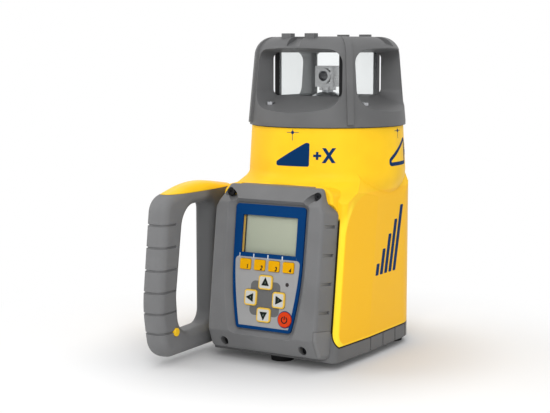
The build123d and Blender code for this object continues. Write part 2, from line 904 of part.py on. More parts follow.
with BuildPart() as front_cover:
    add(cover_form())
    add(corner_regions(0), mode=Mode.SUBTRACT)
    add(cover_brow.part)
    add(hood_region(0), mode=Mode.SUBTRACT)
    with BuildSketch(front_plane.offset(recess_floor)):
        add(panel_outline(recess_margin))
    extrude(amount=cover_depth, taper=-recess_flare, mode=Mode.SUBTRACT)
    with BuildSketch(front_plane):
        add(cover_outline(cover_wall))
        with Locations(*(place for place, seat in all_cover_screws)):
            Circle(boss_r, mode=Mode.SUBTRACT)
    extrude(amount=cover_hollow, mode=Mode.SUBTRACT)
    with BuildSketch(front_plane):
        with Locations((0, (board_low + board_high) / 2)):
            Rectangle(2 * (board_half + board_room), board_high - board_low + 2 * board_room)
    extrude(amount=recess_floor - panel_shelf, mode=Mode.SUBTRACT)
    with BuildSketch(front_plane):
        add(panel_outline(-panel_ledge))
        add(power_key_outline(key_flange / power_flange_share + key_gap))
    extrude(amount=cover_depth, mode=Mode.SUBTRACT)
    for place, seat in all_cover_screws:
        add(rod(front_plane, place, screw_bore_r, -2 * boss_length, cover_depth), mode=Mode.SUBTRACT)
        add(rod(front_plane, place, head_bore_r, seat, 2 * cover_depth), mode=Mode.SUBTRACT)
    for side in (1, -1):
        pocket_at = (side * cover_screw_top[0], cover_screw_top[1], upper_screw_seat)
        pocket = Plane(front_plane * Location(pocket_at, (pocket_lean[0], -side * pocket_lean[1], 0)))
        add(rod(pocket, (0, 0), head_bore_r, 0, 2 * cover_depth), mode=Mode.SUBTRACT)
    groove_w = cover_depth / 2
    groove_u = cover_half - groove_w * tan(radians(cover_draft)) + strip_groove_depth
    for side in (1, -1):
        for groove_v in strip_groove_heights:
            with Locations(front_plane * Location((side * groove_u, groove_v, groove_w))):
                Box(4 * strip_groove_depth, strip_groove_width, strip_groove_length, mode=Mode.SUBTRACT)
save(front_cover, "front_cover")

# Cover screws: four socket-headed screws through the cover
with BuildPart() as cover_screws:
    for place, seat in all_cover_screws:
        add(rod(front_plane, place, screw_r, -screw_grip, seat + running_gap))
        add(socket_head(front_plane, place, seat + running_gap))
save(cover_screws, "cover_screws")

# Base tray: grey tub under the housing with corner blocks and the tripod boss
with BuildPart() as lower_bosses:
    with BuildSketch(front_plane):
        with Locations(*both_sides(*cover_screw_low)):
            Circle(boss_r)
    extrude(amount=-boss_length - wall)
    add(body_prism(tray_z, housing_z - seat_gap, 0), mode=Mode.INTERSECT)

tray_top_z = housing_z - seat_gap
sweep_top_z = tray_top_z + 2 * foot_sweep_h
with BuildPart() as corner_blocks:
    add(cover_form())
    add(corner_regions(seat_gap), mode=Mode.INTERSECT)

with BuildPart() as foot_sweeps:
    add(body_prism(tray_top_z - wall, sweep_top_z, 0))
    add(body_prism(tray_top_z - 2 * wall, sweep_top_z + wall, wall), mode=Mode.SUBTRACT)
    add(front_foot(seat_gap), mode=Mode.INTERSECT)

with BuildPart() as base_tray:
    add(body_prism(tray_z, tray_top_z, 0))
    add(body_prism(tray_z + tray_floor, tray_top_z + wall, wall), mode=Mode.SUBTRACT)
    add(body_prism(tray_top_z - wall, housing_z + tray_lip, wall + trim_gap))
    add(
        body_prism(tray_z + tray_floor, housing_z + tray_lip + wall, wall + trim_gap + tray_lip_wall),
        mode=Mode.SUBTRACT,
    )
    add(foot_sweeps.part)
    add(corner_blocks.part)
    with BuildSketch(front_plane.offset(-wall)):
        for side in (1, -1):
            ear_in = cover_foot_half + seat_gap
            with Locations((side * (ear_in + cover_half) / 2, (block_foot + cover_low) / 2)):
                Rectangle(cover_half - ear_in, block_foot - cover_low - 2 * cover_corner)
    extrude(amount=2 * wall)
    add(lower_bosses.part)
    for place in both_sides(*cover_screw_low):
        add(rod(front_plane, place, screw_r + running_gap, -boss_length, wall), mode=Mode.SUBTRACT)
    add(rod(Plane.XY, (0, 0), insert_r + boss_wall, 0, insert_length - insert_gap))
    add(rod(Plane.XY, (0, 0), insert_r + insert_gap, -wall, insert_length + wall), mode=Mode.SUBTRACT)
    for side in (1, -1):
        rail_x = (side * battery_rail_x - battery_rail_w / 2, side * battery_rail_x + battery_rail_w / 2)
        rail_y = (holder_y[0] + wall, holder_y[1] - 2 * wall)
        add(block(rail_x, rail_y, (tray_z + trim_gap, holder_low_z - trim_gap)))
    for place in foot_places:
        stud_z = (tray_z - wall, tray_z + foot_stud_h + trim_gap)
        add(rod(Plane.XY, place, foot_stud_r + trim_gap, *stud_z), mode=Mode.SUBTRACT)
    for side in (1, -1):
        for groove_y in rib_groove_ys:
            groove_x = sorted((side * (side_x - rib_groove_depth), side * (side_x + wall)))
            groove_span = (groove_y - rib_groove_w / 2, groove_y + rib_groove_w / 2)
            add(block(groove_x, groove_span, (tray_z - wall, tray_top_z + wall)), mode=Mode.SUBTRACT)
save(base_tray, "base_tray")

# Rubber feet: three soles with studs in the tray
with BuildPart() as rubber_feet:
    for place in foot_places:
        with BuildSketch(Plane.XY):
            with Locations(place):
                Circle(foot_sole_r)
        extrude(amount=tray_z - running_gap, taper=-foot_draft)
        add(rod(Plane.XY, place, foot_stud_r, tray_z - wall, tray_z + foot_stud_h))
save(rubber_feet, "rubber_feet")

# Tripod inserts: flanged brass bushes at the base and at the rear
with BuildPart() as tripod_insert:
    add(ring(insert_r, thread_r, 0, insert_length))
    add(ring(insert_flange_r, thread_r, insert_length, insert_flange))
save(tripod_insert, "tripod_insert")

rear_insert_end = boss_y - running_gap
with BuildPart() as rear_tripod_insert:
    add(rod(Plane.XZ, (0, rear_insert_z), insert_r, -rear_y, -rear_insert_end))
    flange_y = (-rear_insert_end, insert_flange - rear_insert_end)
    add(rod(Plane.XZ, (0, rear_insert_z), insert_flange_r, *flange_y))
    thread_y = (-rear_y - wall, insert_length - rear_insert_end)
    add(rod(Plane.XZ, (0, rear_insert_z), thread_r, *thread_y), mode=Mode.SUBTRACT)
save(rear_tripod_insert, "rear_tripod_insert")

# Handle: grey loop with a grooved grip, a yellow top and a yellow plug
with BuildPart() as grip_grooves:
    with BuildSketch(Plane.YZ.offset(handle_outer_x - wall)):
        for groove_z in grip_groove_zs:
            with Locations((grip_rear_y - beyond / 2, groove_z)):
                SlotOverall(beyond, grip_groove_h)
    extrude(amount=handle_inner_x - handle_outer_x + 2 * wall)
    add(handle_form(grip_groove_depth), mode=Mode.SUBTRACT)

with BuildPart() as handle_pad:
    pad_x = (handle_inner_x - handle_pad_in, handle_inner_x + handle_pad_in)
    add(block(pad_x, handle_pad_y, handle_pad_z))
    add(housing_form(-trim_gap), mode=Mode.SUBTRACT)

with BuildPart() as handle:
    add(handle_form(0))
    add(handle_pad.part)
    add(above_handle_line(trim_gap), mode=Mode.SUBTRACT)
    add(grip_grooves.part, mode=Mode.SUBTRACT)
    add(rod(Plane.YZ, plug_yz, plug_r + trim_gap, handle_inner_x - plug_depth, 0), mode=Mode.SUBTRACT)
    hole_end = handle_inner_x - handle_screw_grip - wall
    for place in handle_screw_yzs:
        add(rod(Plane.YZ, place, screw_r + running_gap, hole_end, 0), mode=Mode.SUBTRACT)
save(handle, "handle")

with BuildPart() as handle_top_insert:
    add(handle_form(0))
    add(above_handle_line(0), mode=Mode.INTERSECT)
save(handle_top_insert, "handle_top_insert")

with BuildPart() as handle_plug:
    plug_x = (handle_inner_x - plug_depth + running_gap, handle_inner_x + plug_proud)
    add(rod(Plane.YZ, plug_yz, plug_r, *plug_x))
    fillet(handle_plug.edges().sort_by(Axis.X)[-1], plug_proud / 2)
save(handle_plug, "handle_plug")

# Handle screws: driven from inside the housing
with BuildPart() as handle_screws:
    seat = handle_seat_x + running_gap
    for place in handle_screw_yzs:
        add(rod(Plane.YZ, place, screw_r, handle_inner_x - handle_screw_grip, seat))
        add(socket_head(Plane.YZ, place, seat))
save(handle_screws, "handle_screws")

# Lantern: round cage with four flared windows, corner ribs, sighting notches and sighting tabs
lantern_low_z = neck_z + gasket_h
well_half = pane_half + seal_side / 2 + trim_gap
well = (-well_half, well_half)
lantern_screw_places = []
for turn in quarter_turns:
    screw_angle = radians(lantern_screw_angle + turn)
    lantern_screw_places.append((lantern_screw_r * cos(screw_angle), lantern_screw_r * sin(screw_angle)))
with BuildPart() as rib_form:
    add(
        turned(
            (0, rib_low_z),
            (skirt_r + rib_proud, rib_low_z),
            (skirt_r + rib_proud, skirt_waist_z),
            (lantern_top_r + rib_proud, lantern_top_z),
            (0, lantern_top_z),
        )
    )
    fillet(rib_form.edges().group_by(Axis.Z)[-1], crown_r)

with BuildPart() as ribs:
    for turn in quarter_turns:
        add(
            radial_plate(
                turn + 45,
                rib_w,
                (skirt_r - skirt_wall + trim_gap, rib_low_z),
                (beyond, rib_low_z),
                (beyond, lantern_top_z),
                (lantern_top_r - crown_r, lantern_top_z),
                (rib_root_r, ceiling_z),
            )
        )
    add(rib_form.part, mode=Mode.INTERSECT)

with BuildPart() as lantern_frame:
    add(
        turned(
            (skirt_r, lantern_low_z),
            (skirt_r, skirt_waist_z),
            (lantern_top_r, lantern_top_z),
            (roof_r + trim_gap, lantern_top_z),
            (roof_r + trim_gap, ceiling_z + roof_ledge),
            (floor_hole_r, ceiling_z + roof_ledge),
            (floor_hole_r, lantern_floor_z - lantern_floor),
            (floor_bend_r, lantern_floor_z - lantern_floor),
            (skirt_roof_r, skirt_roof_z),
            (skirt_r - skirt_wall, skirt_waist_z),
            (skirt_r - skirt_wall, lantern_low_z),
        )
    )
    rims = lantern_frame.edges().filter_by(GeomType.CIRCLE).group_by(Axis.Z)[-1]
    fillet(rims.sort_by(SortBy.RADIUS)[-1], crown_r)
    add(ribs.part)
    add(block(well, well, (lantern_floor_z, ceiling_z)), mode=Mode.SUBTRACT)
    add(rod(Plane.XY, (0, 0), roof_ledge_r, ceiling_z, ceiling_z + roof_ledge), mode=Mode.SUBTRACT)
    for turn in quarter_turns:
        add(window_cut(turn), mode=Mode.SUBTRACT)
        add(
            radial_plate(
                turn,
                notch_w,
                (notch_inner_r, notch_inner_z),
                (skirt_r, notch_outer_z),
                (skirt_r, lantern_top_z + wall),
                (notch_inner_r, lantern_top_z + wall),
            ),
            mode=Mode.SUBTRACT,
        )
    for side in (1, -1):
        for end in (1, -1):
            tab_centre = (side * tab_x, end * tab_y)
            add(
                block(
                    (tab_centre[0] - tab_size[0] / 2, tab_centre[0] + tab_size[0] / 2),
                    (tab_centre[1] - tab_size[1] / 2, tab_centre[1] + tab_size[1] / 2),
                    (tab_foot_z, lantern_top_z + tab_size[2]),
                )
            )
    for place in lantern_screw_places:
        add(rod(Plane.XY, place, boss_r, chassis_z + chassis_h + seat_gap, lantern_screw_seat_z))
        add(rod(Plane.XY, place, screw_bore_r, chassis_z, lantern_floor_z), mode=Mode.SUBTRACT)
        bore_z = (lantern_screw_seat_z, lantern_screw_seat_z + 2 * screw_head_h)
        add(rod(Plane.XY, place, head_bore_r, *bore_z), mode=Mode.SUBTRACT)
save(lantern_frame, "lantern_frame")

with BuildPart() as lantern_roof:
    add(
        turned(
            (0, lantern_top_z - running_gap),
            (roof_r, lantern_top_z - running_gap),
            (roof_r, ceiling_z + roof_ledge + running_gap),
            (roof_r - roof_wall, ceiling_z + roof_ledge + running_gap),
            (roof_r - roof_wall, lantern_top_z - wall),
            (0, lantern_top_z - wall),
        )
    )
save(lantern_roof, "lantern_roof")

with BuildPart() as lantern_gasket:
    add(ring(neck_top_r, neck_top_r - wall, neck_z + running_gap, gasket_h - 2 * running_gap))
save(lantern_gasket, "lantern_gasket")

with BuildPart() as lantern_screws:
    for place in lantern_screw_places:
        seat = lantern_screw_seat_z + running_gap
        add(rod(Plane.XY, place, screw_r, chassis_z + over, seat))
        add(socket_head(Plane.XY, place, seat))
save(lantern_screws, "lantern_screws")

# Glass box inside the cage: four panes, corner seals and the wiper seal about the dome
pane_reach = pane_half - seal_side / 2 - pane_gap
pane_z = (lantern_floor_z + pane_gap, ceiling_z - pane_gap)
pane_span = (pane_half - pane_thick / 2, pane_half + pane_thick / 2)
with BuildPart() as window_panes:
    for side in (1, -1):
        across = sorted((side * pane_span[0], side * pane_span[1]))
        add(block(across, (-pane_reach, pane_reach), pane_z))
        add(block((-pane_reach, pane_reach), across, pane_z))
save(window_panes, "window_panes")

with BuildPart() as corner_seals:
    with BuildSketch(Plane.XY.offset(pane_z[0])):
        with GridLocations(2 * pane_half, 2 * pane_half, 2, 2):
            Rectangle(seal_side, seal_side)
    extrude(amount=pane_z[1] - pane_z[0])
save(corner_seals, "corner_seals")

wiper_inner_r = sqrt(dome_r**2 - (lantern_floor_z - pivot_z) ** 2) + dome_gap
with BuildPart() as wiper_seal:
    add(ring(wiper_outer_r, wiper_inner_r, lantern_floor_z + running_gap, wiper_h))
save(wiper_seal, "wiper_seal")

# Control panel with its key holes, the display and the lamp
with BuildPart() as keypad_panel:
    with BuildSketch(front_plane.offset(recess_floor + running_gap)):
        add(panel_outline(0))
        with Locations((0, (lcd_low + lcd_high) / 2)):
            Rectangle(2 * lcd_half, lcd_high - lcd_low, mode=Mode.SUBTRACT)
        for outline in key_outlines().values():
            add(outline(key_gap), mode=Mode.SUBTRACT)
        with Locations(lamp_uv):
            Circle(lamp_r + trim_gap, mode=Mode.SUBTRACT)
    extrude(amount=panel_thick)
save(keypad_panel, "keypad_panel")

lcd_back = recess_floor - running_gap - lcd_window_thick
lcd_span_u = (-lcd_half - lcd_lip, lcd_half + lcd_lip)
lcd_span_v = (lcd_low - lcd_lip, lcd_high + lcd_lip)


def display_sheet(low_w, thickness):
    """A sheet behind the panel's display opening."""
    with BuildPart() as sheet:
        with BuildSketch(front_plane.offset(low_w)):
            with Locations((0, sum(lcd_span_v) / 2)):
                Rectangle(lcd_span_u[1] - lcd_span_u[0], lcd_span_v[1] - lcd_span_v[0])
        extrude(amount=thickness)
    return sheet.part


keypad_board_top = recess_floor - keypad_board_gap
with BuildPart() as lcd_window:
    add(display_sheet(lcd_back, lcd_window_thick))
save(lcd_window, "lcd_window")

with BuildPart() as lcd_module:
    add(display_sheet(keypad_board_top + running_gap, lcd_back - keypad_board_top - 2 * running_gap))
save(lcd_module, "lcd_module")

for key_name, outline in key_outlines().items():
    with BuildPart() as key_cap:
        add(key(outline))
        rim = front_plane.to_local_coords
        crown_w = recess_floor + panel_thick + key_proud / 2
        crown = key_cap.edges().filter_by(lambda edge: rim(edge.center()).Z > crown_w)
        fillet(crown, key_crown_r)
    save(key_cap, key_name)

with BuildPart() as status_lamp:
    lamp_span = (keypad_board_top + running_gap, recess_floor + panel_thick + trim_gap)
    add(rod(front_plane, lamp_uv, lamp_r, *lamp_span))
save(status_lamp, "status_lamp")

# Boards behind the panel and the standoffs that carry them
standoff_places = [(side * standoff_uv[0], end * standoff_uv[1]) for side in (1, -1) for end in (1, -1)]


def board(top_w, half_u, low_v, high_v):
    """A circuit board on the front's lean, with holes for the standoffs."""
    with BuildPart() as sheet:
        with BuildSketch(front_plane.offset(top_w)):
            with Locations((0, (low_v + high_v) / 2)):
                RectangleRounded(2 * half_u, high_v - low_v, wall)
            with Locations(*standoff_places):
                Circle(standoff_r + trim_gap, mode=Mode.SUBTRACT)
        extrude(amount=-board_thick)
    return sheet.part


with BuildPart() as keypad_board:
    add(board(keypad_board_top, board_half, board_low, board_high))
save(keypad_board, "keypad_board")

with BuildPart() as main_board:
    add(board(-main_board_depth, main_board_half, main_board_low, main_board_high))
    for chip_u, chip_v, chip_half_u, chip_half_v in board_chips:
        with BuildSketch(front_plane.offset(-main_board_depth - board_thick / 2)):
            with Locations((chip_u, chip_v)):
                Rectangle(2 * chip_half_u, 2 * chip_half_v)
        extrude(amount=chip_h + board_thick / 2)
save(main_board, "main_board")

with BuildPart() as board_standoffs:
    for place in standoff_places:
        standoff_span = (-main_board_depth - 2 * board_thick, recess_floor - panel_shelf - running_gap)
        add(rod(front_plane, place, standoff_r, *standoff_span))
save(board_standoffs, "board_standoffs")

# Chassis ring on the housing's ledge with two posts for the gimbal
with BuildPart() as chassis:
    add(ring(chassis_out_r, chassis_in_r, chassis_z + running_gap, chassis_h))
    for side in (1, -1):
        post_span = sorted((side * (post_x - post_size[0] / 2), side * (post_x + post_size[0] / 2)))
        add(block(post_span, (-post_size[1] / 2, post_size[1] / 2), (chassis_z + over, pivot_z + post_top)))
    add(rod(Plane.YZ, (0, pivot_z), trunnion_r + running_gap, -beyond, beyond), mode=Mode.SUBTRACT)
    for place in lantern_screw_places:
        add(rod(Plane.XY, place, screw_r + running_gap, chassis_z - over, neck_z), mode=Mode.SUBTRACT)
save(chassis, "chassis")

# Gimbal ring turning about X in the posts
with BuildPart() as gimbal_ring:
    add(rod(Plane.YZ, (0, pivot_z), trunnion_r, -pin_reach, pin_reach))
    add(rod(Plane.XY, (0, 0), ring_out_r, pivot_z - ring_h / 2, pivot_z + ring_h / 2))
    add(rod(Plane.XY, (0, 0), ring_in_r, pivot_z - ring_h, pivot_z + ring_h), mode=Mode.SUBTRACT)
    add(rod(Plane.XZ, (0, pivot_z), trunnion_r + running_gap, -beyond, beyond), mode=Mode.SUBTRACT)
save(gimbal_ring, "gimbal_ring")

# Optics carrier turning about Y in the ring, with its end cap and drive pin
with BuildPart() as optics_carrier:
    add(rod(Plane.XZ, (0, pivot_z), trunnion_r, ring_gap - ring_out_r, ring_out_r - ring_gap))
    add(rod(Plane.XY, (0, 0), carrier_r, carrier_low_z, pivot_z + carrier_top))
    bore_z = (carrier_low_z - over, pivot_z + carrier_top + over)
    add(rod(Plane.XY, (0, 0), carrier_bore_r, *bore_z), mode=Mode.SUBTRACT)
save(optics_carrier, "optics_carrier")

with BuildPart() as carrier_end_cap:
    add(rod(Plane.XY, (0, 0), carrier_r, carrier_low_z - end_cap_h, carrier_low_z - running_gap))
    add(rod(Plane.XY, (0, 0), drive_pin_r, drive_pin_low_z, carrier_low_z - end_cap_h))
save(carrier_end_cap, "carrier_end_cap")

with BuildPart() as laser_module:
    add(rod(Plane.XY, (0, 0), carrier_bore_r - running_gap, module_low_z, module_top_z))
    muzzle_z = (module_top_z - 2 * wall, module_top_z + over)
    add(rod(Plane.XY, (0, 0), spindle_bore_r, *muzzle_z), mode=Mode.SUBTRACT)
save(laser_module, "laser_module")

with BuildPart() as spindle_bearings:
    bearing_rs = (carrier_bore_r - running_gap, spindle_r + running_gap)
    for bearing_z in bearing_zs:
        add(ring(*bearing_rs, bearing_z - bearing_h / 2, bearing_h))
save(spindle_bearings, "spindle_bearings")

motor_z = sum(bearing_zs) / 2
with BuildPart() as motor_stator:
    add(ring(carrier_bore_r - running_gap, stator_in_r, motor_z - motor_h / 2, motor_h))
save(motor_stator, "motor_stator")

with BuildPart() as motor_magnet:
    add(ring(magnet_r, spindle_r + running_gap, motor_z - motor_h / 2, motor_h))
save(motor_magnet, "motor_magnet")

with BuildPart() as spindle:
    add(ring(spindle_r, spindle_bore_r, spindle_low_z, spindle_top_z - spindle_low_z))
save(spindle, "spindle")

# Swivel dome: a cap of a sphere about the pivot that closes the lantern floor at every tilt
with BuildPart() as swivel_dome:
    Sphere(dome_r)
    Sphere(dome_r - dome_wall, mode=Mode.SUBTRACT)
    below = (Align.CENTER, Align.CENTER, Align.MAX)
    with Locations((0, 0, dome_r * cos(radians(dome_reach)))):
        Box(beyond, beyond, beyond, align=below, mode=Mode.SUBTRACT)
    Cylinder(dome_hole_r, beyond, mode=Mode.SUBTRACT)
swivel_dome.part.locate(Location((0, 0, pivot_z)))
save(swivel_dome, "swivel_dome")

# Rotor head: hub, base, two cheeks, a bridge and a lens ring, with the prism between the cheeks
head_low_z = spindle_top_z + running_gap
block_low_z = head_low_z + hub_h
block_top_z = block_low_z + head_h
head_x = (-head_w / 2, head_w / 2)
head_y = (-head_d / 2, head_d / 2)
prism_z = (block_low_z + head_base_h, block_top_z - bridge_h)
with BuildPart() as rotor_head:
    add(rod(Plane.XY, (0, 0), hub_r, head_low_z, block_low_z))
    add(block(head_x, head_y, (block_low_z, block_top_z)))
    add(block((-head_w / 2 + cheek, head_w / 2 - cheek), (-head_d, head_d), prism_z), mode=Mode.SUBTRACT)
    add(rod(Plane.XZ, (0, sum(prism_z) / 2), lens_rim_r, head_d / 2 - cheek, head_d / 2 + cheek / 2))
    add(rod(Plane.XZ, (0, sum(prism_z) / 2), lens_r, 0, head_d), mode=Mode.SUBTRACT)
    add(rod(Plane.XY, (0, 0), spindle_bore_r, head_low_z - over, prism_z[0] + over), mode=Mode.SUBTRACT)
save(rotor_head, "rotor_head")

with BuildPart() as rotor_prism:
    prism_half = head_w / 2 - cheek - prism_gap
    prism_y = (cheek - head_d / 2 + prism_gap, head_d / 2 - prism_gap)
    add(block((-prism_half, prism_half), prism_y, (prism_z[0] + prism_gap, prism_z[1] - prism_gap)))
    chamfer(rotor_prism.edges().filter_by(Axis.X).group_by(Axis.Y)[-1], prism_chamfer)
save(rotor_prism, "rotor_prism")

# Drive frame on four pillars: plate, and brackets for the screws and guide rods of both slides
with BuildPart() as drive_frame:
    plate_x, plate_y = ((-half, half) for half in frame_half)
    add(block(plate_x, plate_y, (frame_z, frame_z + frame_h)))
    window_span = (-frame_window, frame_window)
    add(block(window_span, window_span, (frame_z - over, frame_z + frame_h + over)), mode=Mode.SUBTRACT)
    for side in (1, -1):
        for end in (1, -1):
            near = sorted((end * (bracket_at - bracket_thick / 2), end * (bracket_at + bracket_thick / 2)))
            low_mid = side * screw_axis_low[0]
            low_across = (low_mid - bracket_half_w, low_mid + bracket_half_w)
            add(block(low_across, near, (frame_z + over, screw_axis_low[1] + bracket_half_w)))
            high_mid = side * screw_axis_high[0]
            high_across = (high_mid - bracket_half_w, high_mid + bracket_half_w)
            add(block(near, high_across, (frame_z + over, screw_axis_high[1] + bracket_half_w)))
    bore_reach = bracket_at + bracket_thick
    add(rod(Plane.XZ, screw_axis_low, lead_r + running_gap, -bore_reach, bore_reach), mode=Mode.SUBTRACT)
    add(rod(Plane.XZ, guide_axis_low, guide_r + running_gap, -bore_reach, bore_reach), mode=Mode.SUBTRACT)
    add(rod(Plane.YZ, screw_axis_high, lead_r + running_gap, -bore_reach, bore_reach), mode=Mode.SUBTRACT)
    add(rod(Plane.YZ, guide_axis_high, guide_r + running_gap, -bore_reach, bore_reach), mode=Mode.SUBTRACT)
save(drive_frame, "drive_frame")

with BuildPart() as frame_pillars:
    for pillar_x in (pillar_xy[0], -pillar_xy[0]):
        for pillar_y in (pillar_xy[1], -pillar_xy[1]):
            pillar_span = (tray_z + tray_floor + running_gap, frame_z - running_gap)
            add(rod(Plane.XY, (pillar_x, pillar_y), pillar_r, *pillar_span))
save(frame_pillars, "frame_pillars")

# Crossed slides: each has a slot for the drive pin, a nut on its screw and a sleeve on its guide rod
with BuildPart() as cross_slide_low:
    bar_x = (-slide_reach_low, slide_reach_low)
    add(block(bar_x, (-slide_half_w, slide_half_w), (slide_low_z, slide_low_z + slide_h)))
    for axis_x in (screw_axis_low[0], guide_axis_low[0]):
        nut_span = (axis_x - nut_w / 2, axis_x + nut_w / 2)
        nut_z = (screw_axis_low[1] - nut_half + over, slide_low_z + over)
        add(block(nut_span, (-nut_half, nut_half), nut_z))
    with BuildSketch(Plane.XY.offset(slide_low_z - over)):
        SlotOverall(2 * slot_half, slot_low_w)
    extrude(amount=slide_h + 2, mode=Mode.SUBTRACT)
    add(rod(Plane.XZ, screw_axis_low, lead_r + running_gap, -bore_reach, bore_reach), mode=Mode.SUBTRACT)
    add(rod(Plane.XZ, guide_axis_low, guide_r + running_gap, -bore_reach, bore_reach), mode=Mode.SUBTRACT)
save(cross_slide_low, "cross_slide_low")

with BuildPart() as cross_slide_high:
    bar_y = (-slide_reach, slide_reach)
    add(block((-slide_half_w, slide_half_w), bar_y, (slide_high_z, slide_high_z + slide_h)))
    for axis_y in (screw_axis_high[0], guide_axis_high[0]):
        nut_span = (axis_y - nut_w / 2, axis_y + nut_w / 2)
        nut_z = (slide_high_z + slide_h - over, screw_axis_high[1] + nut_half - over)
        add(block((-nut_half, nut_half), nut_span, nut_z))
    with BuildSketch(Plane.XY.offset(slide_high_z - over)):
        SlotOverall(2 * slot_half, slot_high_w, rotation=90)
    extrude(amount=slide_h + 2, mode=Mode.SUBTRACT)
    add(rod(Plane.YZ, screw_axis_high, lead_r + running_gap, -bore_reach, bore_reach), mode=Mode.SUBTRACT)
    add(rod(Plane.YZ, guide_axis_high, guide_r + running_gap, -bore_reach, bore_reach), mode=Mode.SUBTRACT)
save(cross_slide_high, "cross_slide_high")

# Lead screws with a collar at the far end, their motors and the guide rods
screw_near = bracket_at + bracket_thick / 2 + trim_gap
with BuildPart() as lead_screw_low:
    add(rod(Plane.XZ, screw_axis_low, lead_r, -screw_near - collar_h, screw_near))
    add(rod(Plane.XZ, screw_axis_low, collar_r, -screw_near - collar_h, -screw_near))
    collar_cut = (screw_axis_low[0] + lead_r, screw_axis_low[0] + 2 * collar_r)
    beside = (screw_near - over, screw_near + collar_h + over)
    add(block(collar_cut, beside, (frame_z, slide_low_z)), mode=Mode.SUBTRACT)
save(lead_screw_low, "lead_screw_low")

with BuildPart() as lead_screw_high:
    add(rod(Plane.YZ, screw_axis_high, lead_r, -screw_near - collar_h, screw_near))
    add(rod(Plane.YZ, screw_axis_high, collar_r, -screw_near - collar_h, -screw_near))
    collar_cut = (screw_axis_high[0] + lead_r, screw_axis_high[0] + 2 * collar_r)
    beside = (-screw_near - collar_h - over, over - screw_near)
    add(block(beside, collar_cut, (slide_high_z, carrier_low_z)), mode=Mode.SUBTRACT)
save(lead_screw_high, "lead_screw_high")

motor_near = screw_near + trim_gap
with BuildPart() as level_motors:
    add(rod(Plane.XZ, screw_axis_low, motor_r, motor_near, motor_near + motor_length))
    add(rod(Plane.YZ, screw_axis_high, motor_r, motor_near, motor_near + motor_length))
save(level_motors, "level_motors")

guide_end = bracket_at + bracket_thick / 2
with BuildPart() as guide_rods:
    add(rod(Plane.XZ, guide_axis_low, guide_r, -guide_end, guide_end))
    add(rod(Plane.YZ, guide_axis_high, guide_r, -guide_end, guide_end))
save(guide_rods, "guide_rods")

# Battery: four cells in a holder behind the rear door
with BuildPart() as battery_cells:
    for side in (1, -1):
        first_y = holder_y[0] + holder_wall + cell_gap
        for cell_y in (first_y, first_y + cell_gap + cell_length):
            add(rod(Plane.XZ, (side * cell_x, cell_z), cell_r, -cell_y - cell_length + cell_nub, -cell_y))
            add(rod(Plane.XZ, (side * cell_x, cell_z), cell_nub_r, -cell_y - cell_length, -cell_y))
save(battery_cells, "battery_cells")

with BuildPart() as battery_holder:
    add(block((-holder_half, holder_half), holder_y, (holder_low_z, holder_top_z)))
    hollow_half = holder_half - holder_wall
    hollow_y = (holder_y[0] + holder_wall, holder_y[1] + over)
    hollow_z = (holder_low_z + holder_wall, holder_top_z + over)
    add(block((-hollow_half, hollow_half), hollow_y, hollow_z), mode=Mode.SUBTRACT)
save(battery_holder, "battery_holder")

door_y = (rear_y - wall, rear_y + door_proud)
with BuildPart() as battery_door:
    with BuildSketch(Plane.XZ.offset(-door_y[0])):
        with Locations((0, (door_low_z + door_high_z) / 2)):
            RectangleRounded(
                2 * (door_half - trim_gap), door_high_z - door_low_z - 2 * trim_gap, door_corner - trim_gap
            )
    extrude(amount=door_y[0] - door_y[1])
    fillet(battery_door.faces().sort_by(Axis.Y)[-1].edges(), door_proud / 2)
    pocket_y = (-door_y[1] - over, latch_depth - door_y[1])
    add(rod(Plane.XZ, (0, latch_z), latch_r + seat_gap, *pocket_y), mode=Mode.SUBTRACT)
    stem_y = (-door_y[1], wall - door_y[0])
    add(rod(Plane.XZ, (0, latch_z), latch_stem_r + seat_gap, *stem_y), mode=Mode.SUBTRACT)
save(battery_door, "battery_door")

# Quarter-turn latch: knob in the door, stem through it and a tongue behind the housing wall
knob_low_y = door_y[1] - latch_depth + trim_gap
tongue_back_y = door_y[0] - seat_gap
with BuildPart() as battery_latch:
    add(rod(Plane.XZ, (0, latch_z), latch_r, -door_y[1], -knob_low_y))
    grip_half = (latch_grip[0] / 2, latch_grip[1] / 2)
    add(
        block(
            (-grip_half[1], grip_half[1]),
            (door_y[1] - over, door_y[1] + latch_grip[2]),
            (latch_z - grip_half[0], latch_z + grip_half[0]),
        )
    )
    add(rod(Plane.XZ, (0, latch_z), latch_stem_r, -knob_low_y, latch_tongue_thick - tongue_back_y))
    add(
        block(
            (-latch_stem_r, latch_stem_r),
            (tongue_back_y - latch_tongue_thick, tongue_back_y),
            (latch_z, door_high_z + latch_hold),
        )
    )
save(battery_latch, "battery_latch")

# Charging jack and its hinged cap
with BuildPart() as charge_jack:
    add(rod(Plane.XZ, (0, jack_z), jack_r, -rear_y, jack_depth - rear_y))
    socket_y = (-rear_y - over, jack_depth - wall - rear_y)
    add(rod(Plane.XZ, (0, jack_z), jack_bore_r, *socket_y), mode=Mode.SUBTRACT)
    add(rod(Plane.XZ, (0, jack_z), jack_pin_r, jack_pin_drop - rear_y, jack_depth - rear_y))
save(charge_jack, "charge_jack")

cap_y = (rear_y + seat_gap, rear_y + seat_gap + cap_thick)
stub_half = cap_barrel_half + seat_gap + lug_thick
with BuildPart() as jack_cap:
    add(rod(Plane.XZ, (0, jack_z), cap_r, -cap_y[1], -cap_y[0]))
    add(block((cap_strap_half * -1, cap_strap_half), cap_y, (jack_z, cap_hinge_z)))
    add(rod(Plane.YZ, (cap_hinge_y, cap_hinge_z), cap_barrel_r, -cap_barrel_half, cap_barrel_half))
    add(rod(Plane.YZ, (cap_hinge_y, cap_hinge_z), cap_pin_r, -stub_half, stub_half))
save(jack_cap, "jack_cap")
